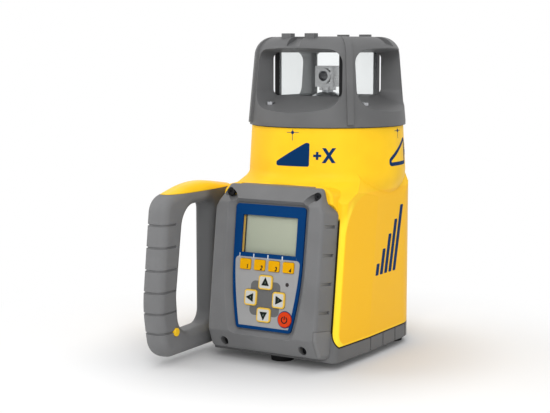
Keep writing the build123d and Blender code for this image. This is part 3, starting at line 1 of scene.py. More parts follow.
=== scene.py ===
# %% [markdown]
# A dual grade laser, as surveyors set it on a site to spin a level or sloping plane of light.
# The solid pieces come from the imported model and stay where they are. This lesson gives each of them
# a finish, adds the printed marks and the rotor's lens as new surfaces, and sets up a white studio
# like the photograph's.

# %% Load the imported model
import math

import bpy
import numpy as np
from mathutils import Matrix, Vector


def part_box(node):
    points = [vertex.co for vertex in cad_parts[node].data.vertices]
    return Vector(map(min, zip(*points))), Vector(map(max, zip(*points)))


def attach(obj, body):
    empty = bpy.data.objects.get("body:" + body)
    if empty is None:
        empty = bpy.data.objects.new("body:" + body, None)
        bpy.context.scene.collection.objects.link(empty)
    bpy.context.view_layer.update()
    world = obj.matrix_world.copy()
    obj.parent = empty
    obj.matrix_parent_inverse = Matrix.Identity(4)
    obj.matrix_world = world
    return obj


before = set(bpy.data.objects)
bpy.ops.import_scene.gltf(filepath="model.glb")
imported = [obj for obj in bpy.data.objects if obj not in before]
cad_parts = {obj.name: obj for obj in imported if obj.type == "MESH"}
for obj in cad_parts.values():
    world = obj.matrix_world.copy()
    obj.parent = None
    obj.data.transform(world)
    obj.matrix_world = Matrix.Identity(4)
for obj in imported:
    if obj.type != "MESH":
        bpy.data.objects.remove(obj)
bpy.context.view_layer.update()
MM = 0.001

# %% [markdown]
# Shader maths reads best as plain expressions. A small class wraps an output socket, so that
# `1 - mask * 0.5` adds its Math nodes by itself. It has the operators that the finishes use, with their
# reflected forms.


# %% Sockets that take part in arithmetic
class Wire:
    """An output socket of a node tree. Arithmetic on it adds one Math node per operation."""

    def __init__(self, tree, socket):
        self.tree = tree
        self.socket = socket

    def math(self, operation, *values):
        """Add a Math node of that operation on the given numbers and wires."""
        node = self.tree.nodes.new("ShaderNodeMath")
        node.operation = operation
        for slot, value in zip(node.inputs, values):
            plug(self.tree, slot, value)
        return Wire(self.tree, node.outputs[0])

    def __add__(self, other):
        return self.math("ADD", self, other)

    __radd__ = __add__

    def __sub__(self, other):
        return self.math("SUBTRACT", self, other)

    def __rsub__(self, other):
        return self.math("SUBTRACT", other, self)

    def __mul__(self, other):
        return self.math("MULTIPLY", self, other)

    __rmul__ = __mul__

    def __pow__(self, power):
        return self.math("POWER", self, power)

    def __abs__(self):
        return self.math("ABSOLUTE", self)

    def lower(self, other):
        """The smaller of two values."""
        return self.math("MINIMUM", self, other)

    def higher(self, other):
        """The larger of two values."""
        return self.math("MAXIMUM", self, other)

    def folded(self, step):
        """The value brought into one step about zero, as a repeating pattern needs."""
        return self.math("WRAP", self, step / 2, -step / 2)


def plug(tree, slot, value):
    """Link a wire to an input socket, or set the socket's own value."""
    if isinstance(value, Wire):
        tree.links.new(value.socket, slot)
    elif isinstance(value, tuple) and len(value) == 3 and slot.type == "RGBA":
        slot.default_value = (*value, 1.0)
    else:
        slot.default_value = value


print("arithmetic on sockets ready")

# %% [markdown]
# A second helper builds the node tree of a material or of the sky. Every node but the Math ones and the
# output comes from one method, which sets the node's options first and then its sockets, by value or by link.


# %% A node tree under construction
class Tree:
    """The nodes of a material or of the sky, with one method for every kind of node."""

    def __init__(self, owner, ending):
        owner.use_nodes = True
        self.tree = owner.node_tree
        self.tree.nodes.clear()
        self.output = self.tree.nodes.new("ShaderNode" + ending)

    def node(self, kind, settings=None, sockets=None, out=0):
        """Add a node: its settings first, then its sockets by name or number. Gives back one output."""
        made = self.tree.nodes.new("ShaderNode" + kind)
        for name, value in (settings or {}).items():
            setattr(made, name, value)
        for name, value in (sockets or {}).items():
            plug(self.tree, made.inputs[name], value)
        return Wire(self.tree, made.outputs[out])

    def surface(self, **sockets):
        """End with one Principled shader, its sockets named with underscores for spaces."""
        named = {name.replace("_", " "): value for name, value in sockets.items()}
        plug(self.tree, self.output.inputs[0], self.node("BsdfPrincipled", None, named))

    def layered(self, share, under, over):
        """End with two shaders, the second one shown by a share from 0 to 1."""
        both = self.node("MixShader", None, {0: share, 1: under, 2: over})
        plug(self.tree, self.output.inputs[0], both)


print("node trees ready")

# %% [markdown]
# Many finishes share the same patterns: noise, smooth steps, rounded corners, bumps and scuffs. They are
# methods of a material and read Object coordinates, so a pattern stays with its piece when that moves.

# %% A material under construction
BEVEL_SAMPLES = 6
CORNER_TURN = 0.02, 0.25
SCUFF_STRETCH, SCUFF_EDGE = (1.0, 1.0, 6.0), (0.62, 0.78)
finishes = {}


class Finish(Tree):
    """A material under construction, kept in finishes by its name."""

    def __init__(self, name):
        finishes[name] = bpy.data.materials.new(name)
        super().__init__(finishes[name], "OutputMaterial")
        self.place = self.node("TexCoord", out="Object")

    def axes(self):
        """Object X, Y and Z in millimetres, as three wires."""
        parts = self.node("SeparateXYZ", None, {0: self.place}).socket.node
        return [Wire(self.tree, socket) * (1 / MM) for socket in parts.outputs]

    def stretched(self, scale):
        """Object coordinates multiplied along each axis, for patterns with a direction."""
        return self.node("Mapping", None, {"Vector": self.place, "Scale": scale}, "Vector")

    def noise(self, per_mm, detail, rough=0.55, vector=None):
        """Fractal noise from 0 to 1 with that many cells to the millimetre."""
        where = vector or self.place
        sockets = {"Vector": where, "Scale": per_mm / MM, "Detail": detail, "Roughness": rough}
        return self.node("TexNoise", None, sockets)

    def step(self, value, start, end):
        """A smooth step from 0 at the start to 1 at the end."""
        sockets = {"Value": value, "From Min": start, "From Max": end}
        return self.node("MapRange", {"interpolation_type": "SMOOTHSTEP"}, sockets)

    def mix(self, share, first, second):
        """A colour between two colours, by a share from 0 to 1."""
        return self.node("Mix", {"data_type": "RGBA"}, {0: share, 6: first, 7: second}, 2)

    def soft_edges(self, radius):
        """The normal with its corners rounded in shading, and a mask that is 1 along those corners.

        The mask grows over CORNER_TURN, which is 1 less the cosine of the angle that the normal has turned.
        """
        rounded = self.node("Bevel", {"samples": BEVEL_SAMPLES}, {"Radius": radius * MM})
        plain = self.node("NewGeometry", out="Normal")
        same = self.node("VectorMath", {"operation": "DOT_PRODUCT"}, {0: rounded, 1: plain}, "Value")
        return rounded, self.step(1 - same, *CORNER_TURN)

    def bump(self, height, depth, normal=None):
        """A normal from a height map, whose full range is that deep in millimetres."""
        sockets = {"Height": height, "Distance": depth * MM, "Strength": 1.0}
        if normal:
            sockets["Normal"] = normal
        return self.node("Bump", None, sockets)

    def scuffs(self):
        """Fine scuffs: thin streaks of stretched noise, from 0 to 1."""
        streaks = self.noise(0.05, 4.0, 0.7, self.stretched(SCUFF_STRETCH))
        return self.step(streaks, *SCUFF_EDGE)


def shaded(colour, times, plus=0.0):
    """A darker or lighter colour: each channel times a factor, plus an amount, and at most 1."""
    return tuple(min(1.0, channel * times + plus) for channel in colour)


print("material helpers ready")

# %% [markdown]
# The yellow body and the grey cage, cover, base and handle are injection-moulded plastic with a fine spark
# texture. A flat colour would look like paper, so each moulding has a slow change of shade, a fine grain in
# its bump, a few rubbed streaks, and a paler line along its corners, which the Bevel node finds and rounds
# in shading.

# %% Moulded plastic
RUBBED = 0.35
PARTING = (0.022, 0.017, 0.006)


def moulded(name, colour, shine, grain=1.6, grain_depth=0.02, edge=0.8, pale=1.25, gloss=0.25,
            shades=(), joint=None):
    """A textured moulding: slow shade, fine grain, rubbed streaks and paler corners.

    Shades are pairs of a mask and a colour, which lie under the wear. A joint is a mask drawn over it.
    """
    made = Finish(name)
    shade = made.noise(0.018, 2.0)
    fine = made.noise(grain, 2.0, 0.6)
    speck = made.noise(grain * 0.35, 1.0)
    rounded, corner = made.soft_edges(edge)
    scuffs = made.scuffs()
    worn = shaded(colour, pale, 0.01)
    tint = made.mix(made.step(shade, 0.35, 0.65), shaded(colour, 0.93), shaded(colour, 1.04))
    for where, other in shades:
        tint = made.mix(where(made), tint, other)
    tint = made.mix(made.step(speck, 0.66, 0.8) * 0.18, tint, worn)
    tint = made.mix(scuffs * 0.12 * RUBBED + corner * RUBBED, tint, worn)
    if joint:
        tint = made.mix(joint(made), tint, PARTING)
    rough = shine + (fine - 0.5) * 0.16 + (shade - 0.5) * 0.12 - scuffs * 0.06 * RUBBED
    normal = made.bump(fine * 0.7 + speck * 0.3, grain_depth, rounded)
    made.surface(Base_Color=tint, Roughness=rough, Normal=normal, Specular_IOR_Level=gloss)


LEG_FRONT, LEG_BACK = -120.0, -106.0


def painted_shade_handle_leg(made):
    """Mask of the handle's leg beside the body, painted a darker grey as shade."""
    return made.step(made.axes()[1], LEG_FRONT, LEG_BACK)


GREY = (0.152, 0.153, 0.156)
CAGE_GREY = (0.122, 0.123, 0.125)
GRIP_GREY = (0.170, 0.171, 0.174)
# The darker grey of the handle's leg beside the body is painted shade.
LEG_SHADE_GREY = (0.088, 0.089, 0.091)
moulded("yellow_trim", (0.93, 0.57, 0.022), shine=0.34, grain=2.0, grain_depth=0.008, gloss=0.2)
moulded("grey_shell", GREY, shine=0.50, grain=1.5, grain_depth=0.03, pale=1.5)
moulded("cage_grey", CAGE_GREY, shine=0.48, grain=1.5, grain_depth=0.03, pale=1.6)
moulded("grip", GRIP_GREY, shine=0.56, grain=2.2, grain_depth=0.03, edge=0.6, pale=1.4,
        shades=((painted_shade_handle_leg, LEG_SHADE_GREY),))
moulded("holder", (0.012, 0.012, 0.013), shine=0.55, pale=2.0)
moulded("jack_plastic", (0.016, 0.016, 0.017), shine=0.45, grain=2.5, pale=2.0)
print("moulded finishes", sorted(finishes))

# %% [markdown]
# Feet, seals and the jack's cap are black rubber. It is matt, slightly dusty, and never quite black,
# so a dust noise lifts the colour and the roughness together.

# %% Rubber
REAR_BLEND = 5.0


def rubber(name, colour, dust=0.5, rear=None):
    """Matt elastomer with a dusty bloom and a pebbled skin, and painted light behind the middle if given."""
    made = Finish(name)
    bloom = made.noise(0.06, 4.0, 0.65)
    pebble = made.noise(1.1, 2.0)
    rounded, corner = made.soft_edges(0.5)
    share = made.step(bloom, 0.45, 0.75) * dust + corner * 0.3
    tint = made.mix(share, colour, shaded(colour, 1.9, 0.012))
    if rear:
        tint = made.mix(made.step(made.axes()[1], -REAR_BLEND, REAR_BLEND), tint, rear)
    normal = made.bump(pebble, 0.02, rounded)
    made.surface(Base_Color=tint, Roughness=0.68 + bloom * 0.2, Normal=normal, Specular_IOR_Level=0.3)


RUBBER_BLACK = (0.010, 0.010, 0.011)
rubber("dark_rubber", RUBBER_BLACK)
rubber("seal", (0.008, 0.008, 0.009), dust=0.25)
# The corner seals behind the middle are painted a paler grey, as painted light through the panes.
rubber("painted_light_seal", RUBBER_BLACK, rear=(0.13, 0.13, 0.133))
print("rubber finishes ready")

# %% [markdown]
# Screws, bearings, slides and the rotor are metal. Turned pieces show fine rings, ground ones straight
# brushing, so the noise is stretched along one direction and drives both the bump and the roughness.

# %% Metals
TOOL_LINE_DEPTH = 0.006


def metal(name, colour, shine, stretch=(1.0, 1.0, 14.0), tarnish=0.25):
    """Machined metal: noise drawn out along the tool's direction, with a slow tarnish."""
    made = Finish(name)
    lines = made.noise(0.9, 3.0, 0.6, made.stretched(stretch))
    slow = made.noise(0.04, 3.0)
    rounded, corner = made.soft_edges(0.3)
    tint = made.mix(made.step(slow, 0.4, 0.7) * tarnish, colour, shaded(colour, 0.62))
    tint = made.mix(corner * 0.6, tint, shaded(colour, 1.2, 0.03))
    rough = shine + (lines - 0.5) * 0.22 + (slow - 0.5) * 0.12
    normal = made.bump(lines, TOOL_LINE_DEPTH, rounded)
    made.surface(Base_Color=tint, Metallic=1.0, Roughness=rough, Normal=normal)


metal("steel", (0.46, 0.47, 0.49), 0.30)
metal("black_steel", (0.035, 0.036, 0.039), 0.42, (6.0, 6.0, 6.0), 0.4)
metal("aluminium", (0.62, 0.63, 0.65), 0.28, (1.0, 1.0, 10.0), 0.12)
metal("rotor_metal", (0.50, 0.50, 0.505), 0.26, (1.0, 1.0, 18.0), 0.10)
metal("dark_metal", (0.060, 0.063, 0.068), 0.38, (12.0, 1.0, 1.0), 0.2)
metal("brass", (0.62, 0.42, 0.16), 0.26, (1.0, 1.0, 16.0), 0.35)
metal("magnet", (0.20, 0.20, 0.215), 0.22, (8.0, 8.0, 1.0), 0.2)
print("metal finishes ready")

# %% [markdown]
# The control panel and the seam behind it lean back, so what is printed there is laid out in leaning
# coordinates: across, up the lean, and out of it. The mask of a printed area is a distance worked out from
# them, positive inside and negative outside, so its edge stays sharp at any size.

# %% Leaning coordinates
LEAN = math.radians(7.3)
SEAM_Y, SEAM_Z = -101.0, 97.0


def panel_axes(made):
    """Across and up-the-lean coordinates in millimetres.

    Up is (y - SEAM_Y) times the lean's sine plus (z - SEAM_Z) times its cosine.
    """
    x, y, z = made.axes()
    return x, (y - SEAM_Y) * math.sin(LEAN) + (z - SEAM_Z) * math.cos(LEAN)


def inside_box(across, up, half_across, half_up, corner):
    """Distance into a rounded box about zero: the corner radius less the length beyond the inner box."""
    beyond_a = (abs(across) - (half_across - corner)).higher(0.0)
    beyond_u = (abs(up) - (half_up - corner)).higher(0.0)
    return corner - (beyond_a * beyond_a + beyond_u * beyond_u) ** 0.5


print("panel leans by degrees", round(math.degrees(LEAN), 1))

# %% [markdown]
# The housing's flat sides carry painted shade, a deeper yellow than the round neck, and the bevel before
# them a painted highlight, a brighter yellow. A dark joint runs along the shell's foot and its front seam.
# They are one moulding, so these are masks in its material rather than pieces of their own.

# %% Yellow shell with painted shade on its flats, a painted highlight on its rim, and its joint
YELLOW = (0.96, 0.575, 0.018)
# The flats' deeper yellow is painted shade.
FLAT_SHADE_YELLOW = (0.93, 0.51, 0.0145)
# The bevel's brighter yellow is a painted highlight.
HIGHLIGHT_YELLOW = (1.0, 0.74, 0.035)
FLAT_FRONT, FLAT_FOOT, FLAT_TOP, FLAT_REACH = 4.0, 25.0, 171.0, 150.0
FLAT_BROW_R, FLAT_FOOT_R = 42.0, 12.0
SEAM_HALF, SEAM_BLEND, HOUSING_FOOT = 66.0, 0.5, 22.0
TURN_ALONG, TURN_UP = 12.6, 14.8
# Each pair is where a mask starts and where it is full.
FLAT_EDGE, FLAT_OUT = (-1.0, 1.0), (58.0, 70.0)
HIGHLIGHT_EDGE, HIGHLIGHT_DEPTH, HIGHLIGHT_OUT = (-9.0, -3.0), (18.0, 8.0), (58.0, 65.0)
TURN_EDGE, TURN_DEPTH, TURN_LOW = (0.92, 0.935), (10.0, 8.0), (0.0, 0.02)
FOOT_LINE = HOUSING_FOOT + 1.45, HOUSING_FOOT + 1.25
SEAM_LINE, SEAM_TOP, SEAM_OUT = (0.075, 0.045), (150.0, 146.0), (64.0, 65.0)


def flat_place(made):
    """Depth behind the seam, and distance in from the flat sides' outline.

    The outline is two rounded boxes in depth and height, one under the brow and one over the foot.
    """
    _, y, z = made.axes()
    depth = (y - SEAM_Y) * math.cos(LEAN) - (z - SEAM_Z) * math.sin(LEAN)
    half = FLAT_REACH
    under_brow = inside_box(depth - half - FLAT_FRONT, z - FLAT_TOP + half, half, half, FLAT_BROW_R)
    over_foot = inside_box(depth - half - FLAT_FRONT, z - FLAT_FOOT - half, half, half, FLAT_FOOT_R)
    return depth, under_brow.lower(over_foot)


def painted_shade_flat(made):
    """Mask of the flat sides, painted a deeper yellow as shade."""
    inset = flat_place(made)[1]
    return made.step(inset, *FLAT_EDGE) * made.step(abs(made.axes()[0]), *FLAT_OUT)


def painted_highlight_rim(made):
    """Mask of the painted highlight in front of the flats: the bevel along the seam and its turn at the foot.
    """
    depth, inset = flat_place(made)
    rim = made.step(inset, *HIGHLIGHT_EDGE) * made.step(depth, *HIGHLIGHT_DEPTH)
    return rim * made.step(abs(made.axes()[0]), *HIGHLIGHT_OUT)


def parting_line(made):
    """Mask of the dark joint along the shell's foot and front seam and round its lower front corners.

    A corner is an ellipse seen along the bevel: (a / TURN_ALONG)^2 + (b / TURN_UP)^2 = 1, with a and b
    run from its middle.
    """
    x, _, z = made.axes()
    depth = flat_place(made)[0]
    up = panel_axes(made)[1]
    middle_up = (HOUSING_FOOT - SEAM_Z) / math.cos(LEAN) + TURN_UP
    bevel = (abs(x) - SEAM_HALF + depth) * math.sqrt(0.5)
    ahead = (TURN_ALONG - bevel).higher(0.0) * (1 / TURN_ALONG)
    below = (middle_up - up).higher(0.0) * (1 / TURN_UP)
    turn = made.step((ahead * ahead + below * below) ** 0.5, *TURN_EDGE) * made.step(depth, *TURN_DEPTH)
    foot = made.step(z, *FOOT_LINE)
    seam = made.step(depth, *SEAM_LINE) * made.step(z, *SEAM_TOP) * made.step(abs(x), *SEAM_OUT)
    return foot.higher(seam).higher(turn * made.step(below, *TURN_LOW))


def before_seam(made):
    """Mask of what stands in front of the seam."""
    return made.step(flat_place(made)[0], SEAM_BLEND, -SEAM_BLEND)


# The flats get a deeper yellow as painted shade, and the bevel a brighter yellow as a painted highlight.
moulded(
    "yellow_shell", YELLOW, shine=0.42, grain=1.3, grain_depth=0.012, gloss=0.10,
    shades=((painted_highlight_rim, HIGHLIGHT_YELLOW), (painted_shade_flat, FLAT_SHADE_YELLOW)), joint=parting_line,
)
moulded(
    "base_grey", CAGE_GREY, shine=0.48, grain=1.5, grain_depth=0.03, pale=1.6,
    shades=((before_seam, GRIP_GREY),),
)
print("shell and base ready")

# %% [markdown]
# The panel is one printed sheet: blue, with a pale area for the keys that narrows towards its foot, a grey
# square behind the arrows, and white ticks above the gaps beside the soft keys. A drawn picture would blur
# when seen close, so the print is made of distances.

# %% Panel print
SOFT_PITCH, CROSS_UP = 16.6, -32.0
POWER_AT, POWER_R, COLLAR_GAP = (24.5, -50.3), 7.6, 0.9
KEY_AREA_UP, KEY_AREA_HALF, KEY_AREA_HALF_UP, KEY_AREA_R = -26.0, 37.2, 34.2, 4.0
TAPER_TOP, TAPER_TALL, TAPER_IN, TAPER_POWER = 5.0, 65.0, 8.4, 1.6
SQUARE_HALF, SQUARE_R = 17.2, 5.5
TICK_SHIFT, TICK_UP, TICK_LIMIT = 0.4, 9.6, 33.0
TICK_HALF, TICK_HALF_UP, TICK_R = 0.62, 1.9, 0.3
PRINT_EDGE = -0.08, 0.08


def panel_print():
    """The blue panel with its pale key area, the grey square behind the arrows and four white ticks.

    The key area's half width shrinks by TAPER_IN times ((TAPER_TOP - up) / TAPER_TALL) to the TAPER_POWER.
    """
    made = Finish("panel_print")
    u, v = panel_axes(made)
    taper = ((TAPER_TOP - v).higher(0.0) * (1 / TAPER_TALL)) ** TAPER_POWER * TAPER_IN
    area = inside_box(u, v - KEY_AREA_UP, KEY_AREA_HALF, KEY_AREA_HALF_UP, KEY_AREA_R)
    du, dv = u - POWER_AT[0], v - POWER_AT[1]
    collar = (du * du + dv * dv) ** 0.5 - (POWER_R + COLLAR_GAP)
    pale = (KEY_AREA_HALF - taper - abs(u)).lower(area).lower(collar)
    square = inside_box(u, v - CROSS_UP, SQUARE_HALF, SQUARE_HALF, SQUARE_R)
    tick = inside_box((u - TICK_SHIFT).folded(SOFT_PITCH), v - TICK_UP, TICK_HALF, TICK_HALF_UP, TICK_R)
    tick = tick.lower(TICK_LIMIT - abs(u))
    fine = made.noise(2.2, 2.0)
    slow = made.noise(0.03, 2.0)
    blue = made.mix(slow, (0.0006, 0.033, 0.132), (0.0009, 0.039, 0.150))
    grey = made.mix(slow, (0.285, 0.285, 0.287), (0.325, 0.325, 0.325))
    tint = made.mix(made.step(pale, *PRINT_EDGE), blue, grey)
    tint = made.mix(made.step(square, *PRINT_EDGE), tint, (0.124, 0.124, 0.124))
    tint = made.mix(made.step(tick, *PRINT_EDGE), tint, (0.56, 0.60, 0.64))
    rough = 0.46 + fine * 0.14
    normal = made.bump(fine, 0.01, made.soft_edges(0.4)[0])
    made.surface(Base_Color=tint, Roughness=rough, Normal=normal, Specular_IOR_Level=0.05)


panel_print()
print("panel print ready")

# %% [markdown]
# Behind the clear window lies the display: a reflective sheet of pale grey-green with a faint dot grid.
# Its left rim shows as a dark strip of painted shadow, where the sheet's frame stands back from the glass,
# with an amber edge painted as the frame's lit side wall.

# %% Display and clear window
DOT_PITCH, DOT_HALF, DOT_EDGE = 0.5, 0.21, (-0.02, 0.03)
LCD_RIM, LCD_TOP, LCD_SHADE = -28.7, 50.0, 2.2
RIM_SHADOW_LINE = LCD_RIM + 0.2, LCD_RIM - 0.2
AMBER_LINE = LCD_RIM - 1.6, LCD_RIM - 1.9


def display():
    """Reflective display: dot grid, slow gradient, painted shade at the top and left, and the left rim's
    strips.
    """
    made = Finish("display")
    u, v = panel_axes(made)
    dots = (abs(u.folded(DOT_PITCH)) - DOT_HALF).higher(abs(v.folded(DOT_PITCH)) - DOT_HALF)
    slow = made.noise(0.02, 2.0)
    sheet = made.mix(made.step(v + u * 0.3, -5.0, 60.0), (0.335, 0.355, 0.290), (0.400, 0.415, 0.345))
    sheet = made.mix(made.step(dots, *DOT_EDGE) * 0.10 + (slow - 0.5) * 0.1, sheet, (0.30, 0.32, 0.25))
    # The dark strip at the left rim is painted shadow; the amber strip beside it paints the frame's side wall
    # as lit.
    rim = made.step(u, *RIM_SHADOW_LINE)
    tint = made.mix(rim, sheet, (0.010, 0.010, 0.009))
    tint = made.mix(made.step(u, *AMBER_LINE), tint, (0.60, 0.36, 0.07))
    # Painted shade darkens the sheet near its top and left edges.
    lit = made.step((LCD_TOP - v).lower(u - LCD_RIM), 0.0, LCD_SHADE)
    tint = made.mix((1 - lit) * (1 - rim) * 0.35, tint, (0.18, 0.19, 0.15))
    made.surface(Base_Color=tint, Roughness=0.45 + slow * 0.1, Specular_IOR_Level=0.15)


def clear(name, tint, gloss):
    """Clear sheet: mostly see-through, with a gloss that grows towards grazing angles and faint smears."""
    made = Finish(name)
    smear = made.noise(0.05, 4.0, 0.7, made.stretched((1.0, 1.0, 3.0)))
    grazing = made.node("LayerWeight", None, {"Blend": 0.25}, "Fresnel")
    share = grazing * gloss + made.step(smear, 0.5, 0.8) * 0.015 + 0.008
    sockets = {"Base Color": (0.9, 0.93, 0.94), "Roughness": 0.03 + smear * 0.05, "Specular IOR Level": 0.6}
    skin = made.node("BsdfPrincipled", None, sockets)
    through = made.node("BsdfTransparent", None, {"Color": tint})
    made.layered(share, through, skin)


display()
clear("display_glass", (0.985, 0.99, 0.975), 0.12)
clear("window_glass", (0.985, 0.992, 0.992), 0.22)
print("display finishes ready")

# %% [markdown]
# The keys are silicone rubber. The four arrow keys are pale with a yellow band around the rim.
# They lie at the same distance from the middle of their cross, so one material serves all four:
# the larger of the two distances from the middle runs outwards and the smaller one runs across.

# %% Key rubber
CROSS_REACH = 16.2
ARROW_KEY_HALF, ARROW_KEY_HALF_OUT, ARROW_KEY_R = 8.0, 7.2, 3.0
BAND_EDGE = 1.75, 1.35


def key_rubber(name, colour, band=None):
    """Silicone key: fine skin, slow shade, and for the arrow keys a band along the rim."""
    made = Finish(name)
    fine = made.noise(2.4, 2.0)
    slow = made.noise(0.12, 2.0)
    tint = made.mix(slow, shaded(colour, 0.93), colour)
    if band:
        u, v = panel_axes(made)
        out = abs(u).higher(abs(v - CROSS_UP)) - CROSS_REACH
        across = abs(u).lower(abs(v - CROSS_UP))
        rim = inside_box(across, out, ARROW_KEY_HALF, ARROW_KEY_HALF_OUT, ARROW_KEY_R)
        tint = made.mix(made.step(rim, *BAND_EDGE), tint, band)
    rough = 0.52 + fine * 0.12
    normal = made.bump(fine, 0.012, made.soft_edges(0.4)[0])
    made.surface(Base_Color=tint, Roughness=rough, Normal=normal, Specular_IOR_Level=0.06)


key_rubber("key_yellow", (0.71, 0.350, 0.0010))
key_rubber("key_pale", (0.53, 0.53, 0.50), band=(0.70, 0.45, 0.07))
key_rubber("key_red", (0.60, 0.046, 0.008))
print("key finishes ready")

# %% [markdown]
# Inside the housing are circuit boards and wrapped cells, and a small lamp sits in the panel. The inner ones
# hardly show, yet they are pieces too: the boards get tracks from the edges of a cell pattern, the cells a
# printed sleeve between bare metal ends.

# %% Boards, cells and lamp
TRACKS_PER_M, PADS_PER_M = 240.0, 330.0
CELL_MIDDLE_Y, CELL_PITCH = -15.0, 60.5
SLEEVE_END, BAND_AT, BAND_HALF = (27.4, 27.9), 14.0, (2.2, 1.9)


def circuit_board():
    """Solder mask with paler tracks along cell borders and small gold pads."""
    made = Finish("circuit_board")
    tracks = {"Vector": made.place, "Scale": TRACKS_PER_M}
    pads = {"Vector": made.place, "Scale": PADS_PER_M}
    track = made.step(made.node("TexVoronoi", {"feature": "DISTANCE_TO_EDGE"}, tracks), 0.10, 0.06)
    pad = made.step(made.node("TexVoronoi", None, pads), 0.16, 0.12)
    tint = made.mix(track, (0.004, 0.055, 0.022), (0.012, 0.115, 0.045))
    tint = made.mix(pad, tint, (0.55, 0.36, 0.10))
    rough = 0.42 - pad * 0.15
    made.surface(Base_Color=tint, Roughness=rough, Metallic=pad, Normal=made.bump(track, 0.03))


def cell_sleeve():
    """Battery cells along Y: a dark green sleeve with two pale bands, and bare metal at the ends."""
    made = Finish("cell_sleeve")
    reach = abs((made.axes()[1] - CELL_MIDDLE_Y).folded(CELL_PITCH))
    bare = made.step(reach, *SLEEVE_END)
    band = made.step(abs(reach - BAND_AT), *BAND_HALF)
    scuff = made.noise(0.4, 3.0)
    tint = made.mix(scuff, (0.010, 0.040, 0.020), (0.016, 0.055, 0.028))
    tint = made.mix(band, tint, (0.55, 0.56, 0.53))
    tint = made.mix(bare, tint, (0.58, 0.58, 0.57))
    made.surface(Base_Color=tint, Metallic=bare, Roughness=0.34 + scuff * 0.1)


def lamp_lens():
    """Unlit red lamp: nearly black and glossy, with a faint uneven red."""
    made = Finish("lamp_lens")
    milk = made.noise(0.8, 2.0)
    tint = made.mix(milk, (0.006, 0.005, 0.005), (0.022, 0.010, 0.009))
    made.surface(Base_Color=tint, Roughness=0.12 + milk * 0.08, Coat_Weight=0.6)


circuit_board()
cell_sleeve()
lamp_lens()
print("board, cell and lamp finishes ready")

# %% [markdown]
# Every solid now takes its finish by name. The mesh itself is left alone: only the material in its slot
# changes.

# %% Finishes onto the solids
wearing = {
    "yellow_shell": ["main_housing", "battery_door"],
    "yellow_trim": ["handle_top_insert", "handle_plug"],
    "grey_shell": ["front_cover"],
    "cage_grey": ["lantern_frame", "lantern_roof"],
    "base_grey": ["base_tray"],
    "grip": ["handle"],
    "dark_rubber": ["rubber_feet", "jack_cap"],
    "seal": ["lantern_gasket", "wiper_seal"],
    "painted_light_seal": ["corner_seals"],
    "black_steel": ["cover_screws", "handle_screws"],
    "steel": ["lantern_screws", "spindle", "spindle_bearings", "lead_screw_low", "lead_screw_high",
              "guide_rods"],
    "aluminium": ["chassis", "gimbal_ring", "optics_carrier", "carrier_end_cap", "drive_frame",
                  "swivel_dome"],
    "rotor_metal": ["rotor_head"],
    "dark_metal": ["laser_module", "frame_pillars", "level_motors", "motor_stator", "board_standoffs"],
    "brass": ["tripod_insert", "rear_tripod_insert", "cross_slide_low", "cross_slide_high"],
    "magnet": ["motor_magnet"],
    "window_glass": ["window_panes", "rotor_prism"],
    "display_glass": ["lcd_window"],
    "display": ["lcd_module"],
    "panel_print": ["keypad_panel"],
    "circuit_board": ["keypad_board", "main_board"],
    "lamp_lens": ["status_lamp"],
    "key_yellow": ["soft_key_1", "soft_key_2", "soft_key_3", "soft_key_4"],
    "key_pale": ["arrow_key_up", "arrow_key_down", "arrow_key_left", "arrow_key_right"],
    "key_red": ["power_key"],
    "cell_sleeve": ["battery_cells"],
    "holder": ["battery_holder", "battery_latch"],
    "jack_plastic": ["charge_jack"],
}
finish_of = {node: finish for finish, nodes in wearing.items() for node in nodes}


def wear_finish(piece, finish):
    """Give an object one material."""
    piece.data.materials.clear()
    piece.data.materials.append(finishes[finish])


for node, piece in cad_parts.items():
    wear_finish(piece, finish_of[node])
print("finished solids", len(finish_of), "of", len(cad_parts))

# %% [markdown]
# New pieces are grids of points. Faces join each point to its neighbours by their numbers in the grid,
# and the points go into the mesh in the model's own frame, so the object itself stays at the origin.


# %% Grids and new pieces
def shell_faces(rows, columns, wrap):
    """Quads of a grid whose columns may close, as vertex numbers: row times columns plus column."""
    across = np.arange(columns if wrap else columns - 1)
    down = np.arange(rows - 1)
    i, j = np.meshgrid(down, across, indexing="ij")
    k = (j + 1) % columns
    low, high = i * columns, (i + 1) * columns
    return np.stack([low + j, low + k, high + k, high + j], -1).reshape(-1, 4)


def linked(name, data):
    """A new object with that data, linked into the scene."""
    made = bpy.data.objects.new(name, data)
    bpy.context.scene.collection.objects.link(made)
    return made


def flat_mesh(name, points, faces, finish):
    """A flat-shaded mesh object at the origin from points in metres."""
    mesh = bpy.data.meshes.new(name)
    mesh.from_pydata(points.tolist(), [], [list(face) for face in faces])
    mesh.polygons.foreach_set("use_smooth", np.zeros(len(mesh.polygons), bool))
    mesh.update()
    made = linked(name, mesh)
    wear_finish(made, finish)
    return made


def new_piece(name, points, faces, body, finish):
    """A mesh object from points in millimetres, riding on a body."""
    piece = flat_mesh(name, points * MM, faces, finish)
    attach(piece, body)


print("grid helpers ready")

# %% [markdown]
# Printed marks are thin films of ink on curved or leaning faces. Each starts as a flat outline or a stroke,
# is filled as a grid of points, and is then carried onto its face by a function of two lengths and a lift.
# The film has an upper and a lower skin with a closed rim, so it is a small solid rather than a loose sheet.

# %% Films of ink
MITRE_LIMIT = 1.6


def unit(vectors):
    """Vectors over their lengths."""
    return vectors / np.linalg.norm(vectors, axis=1, keepdims=True)


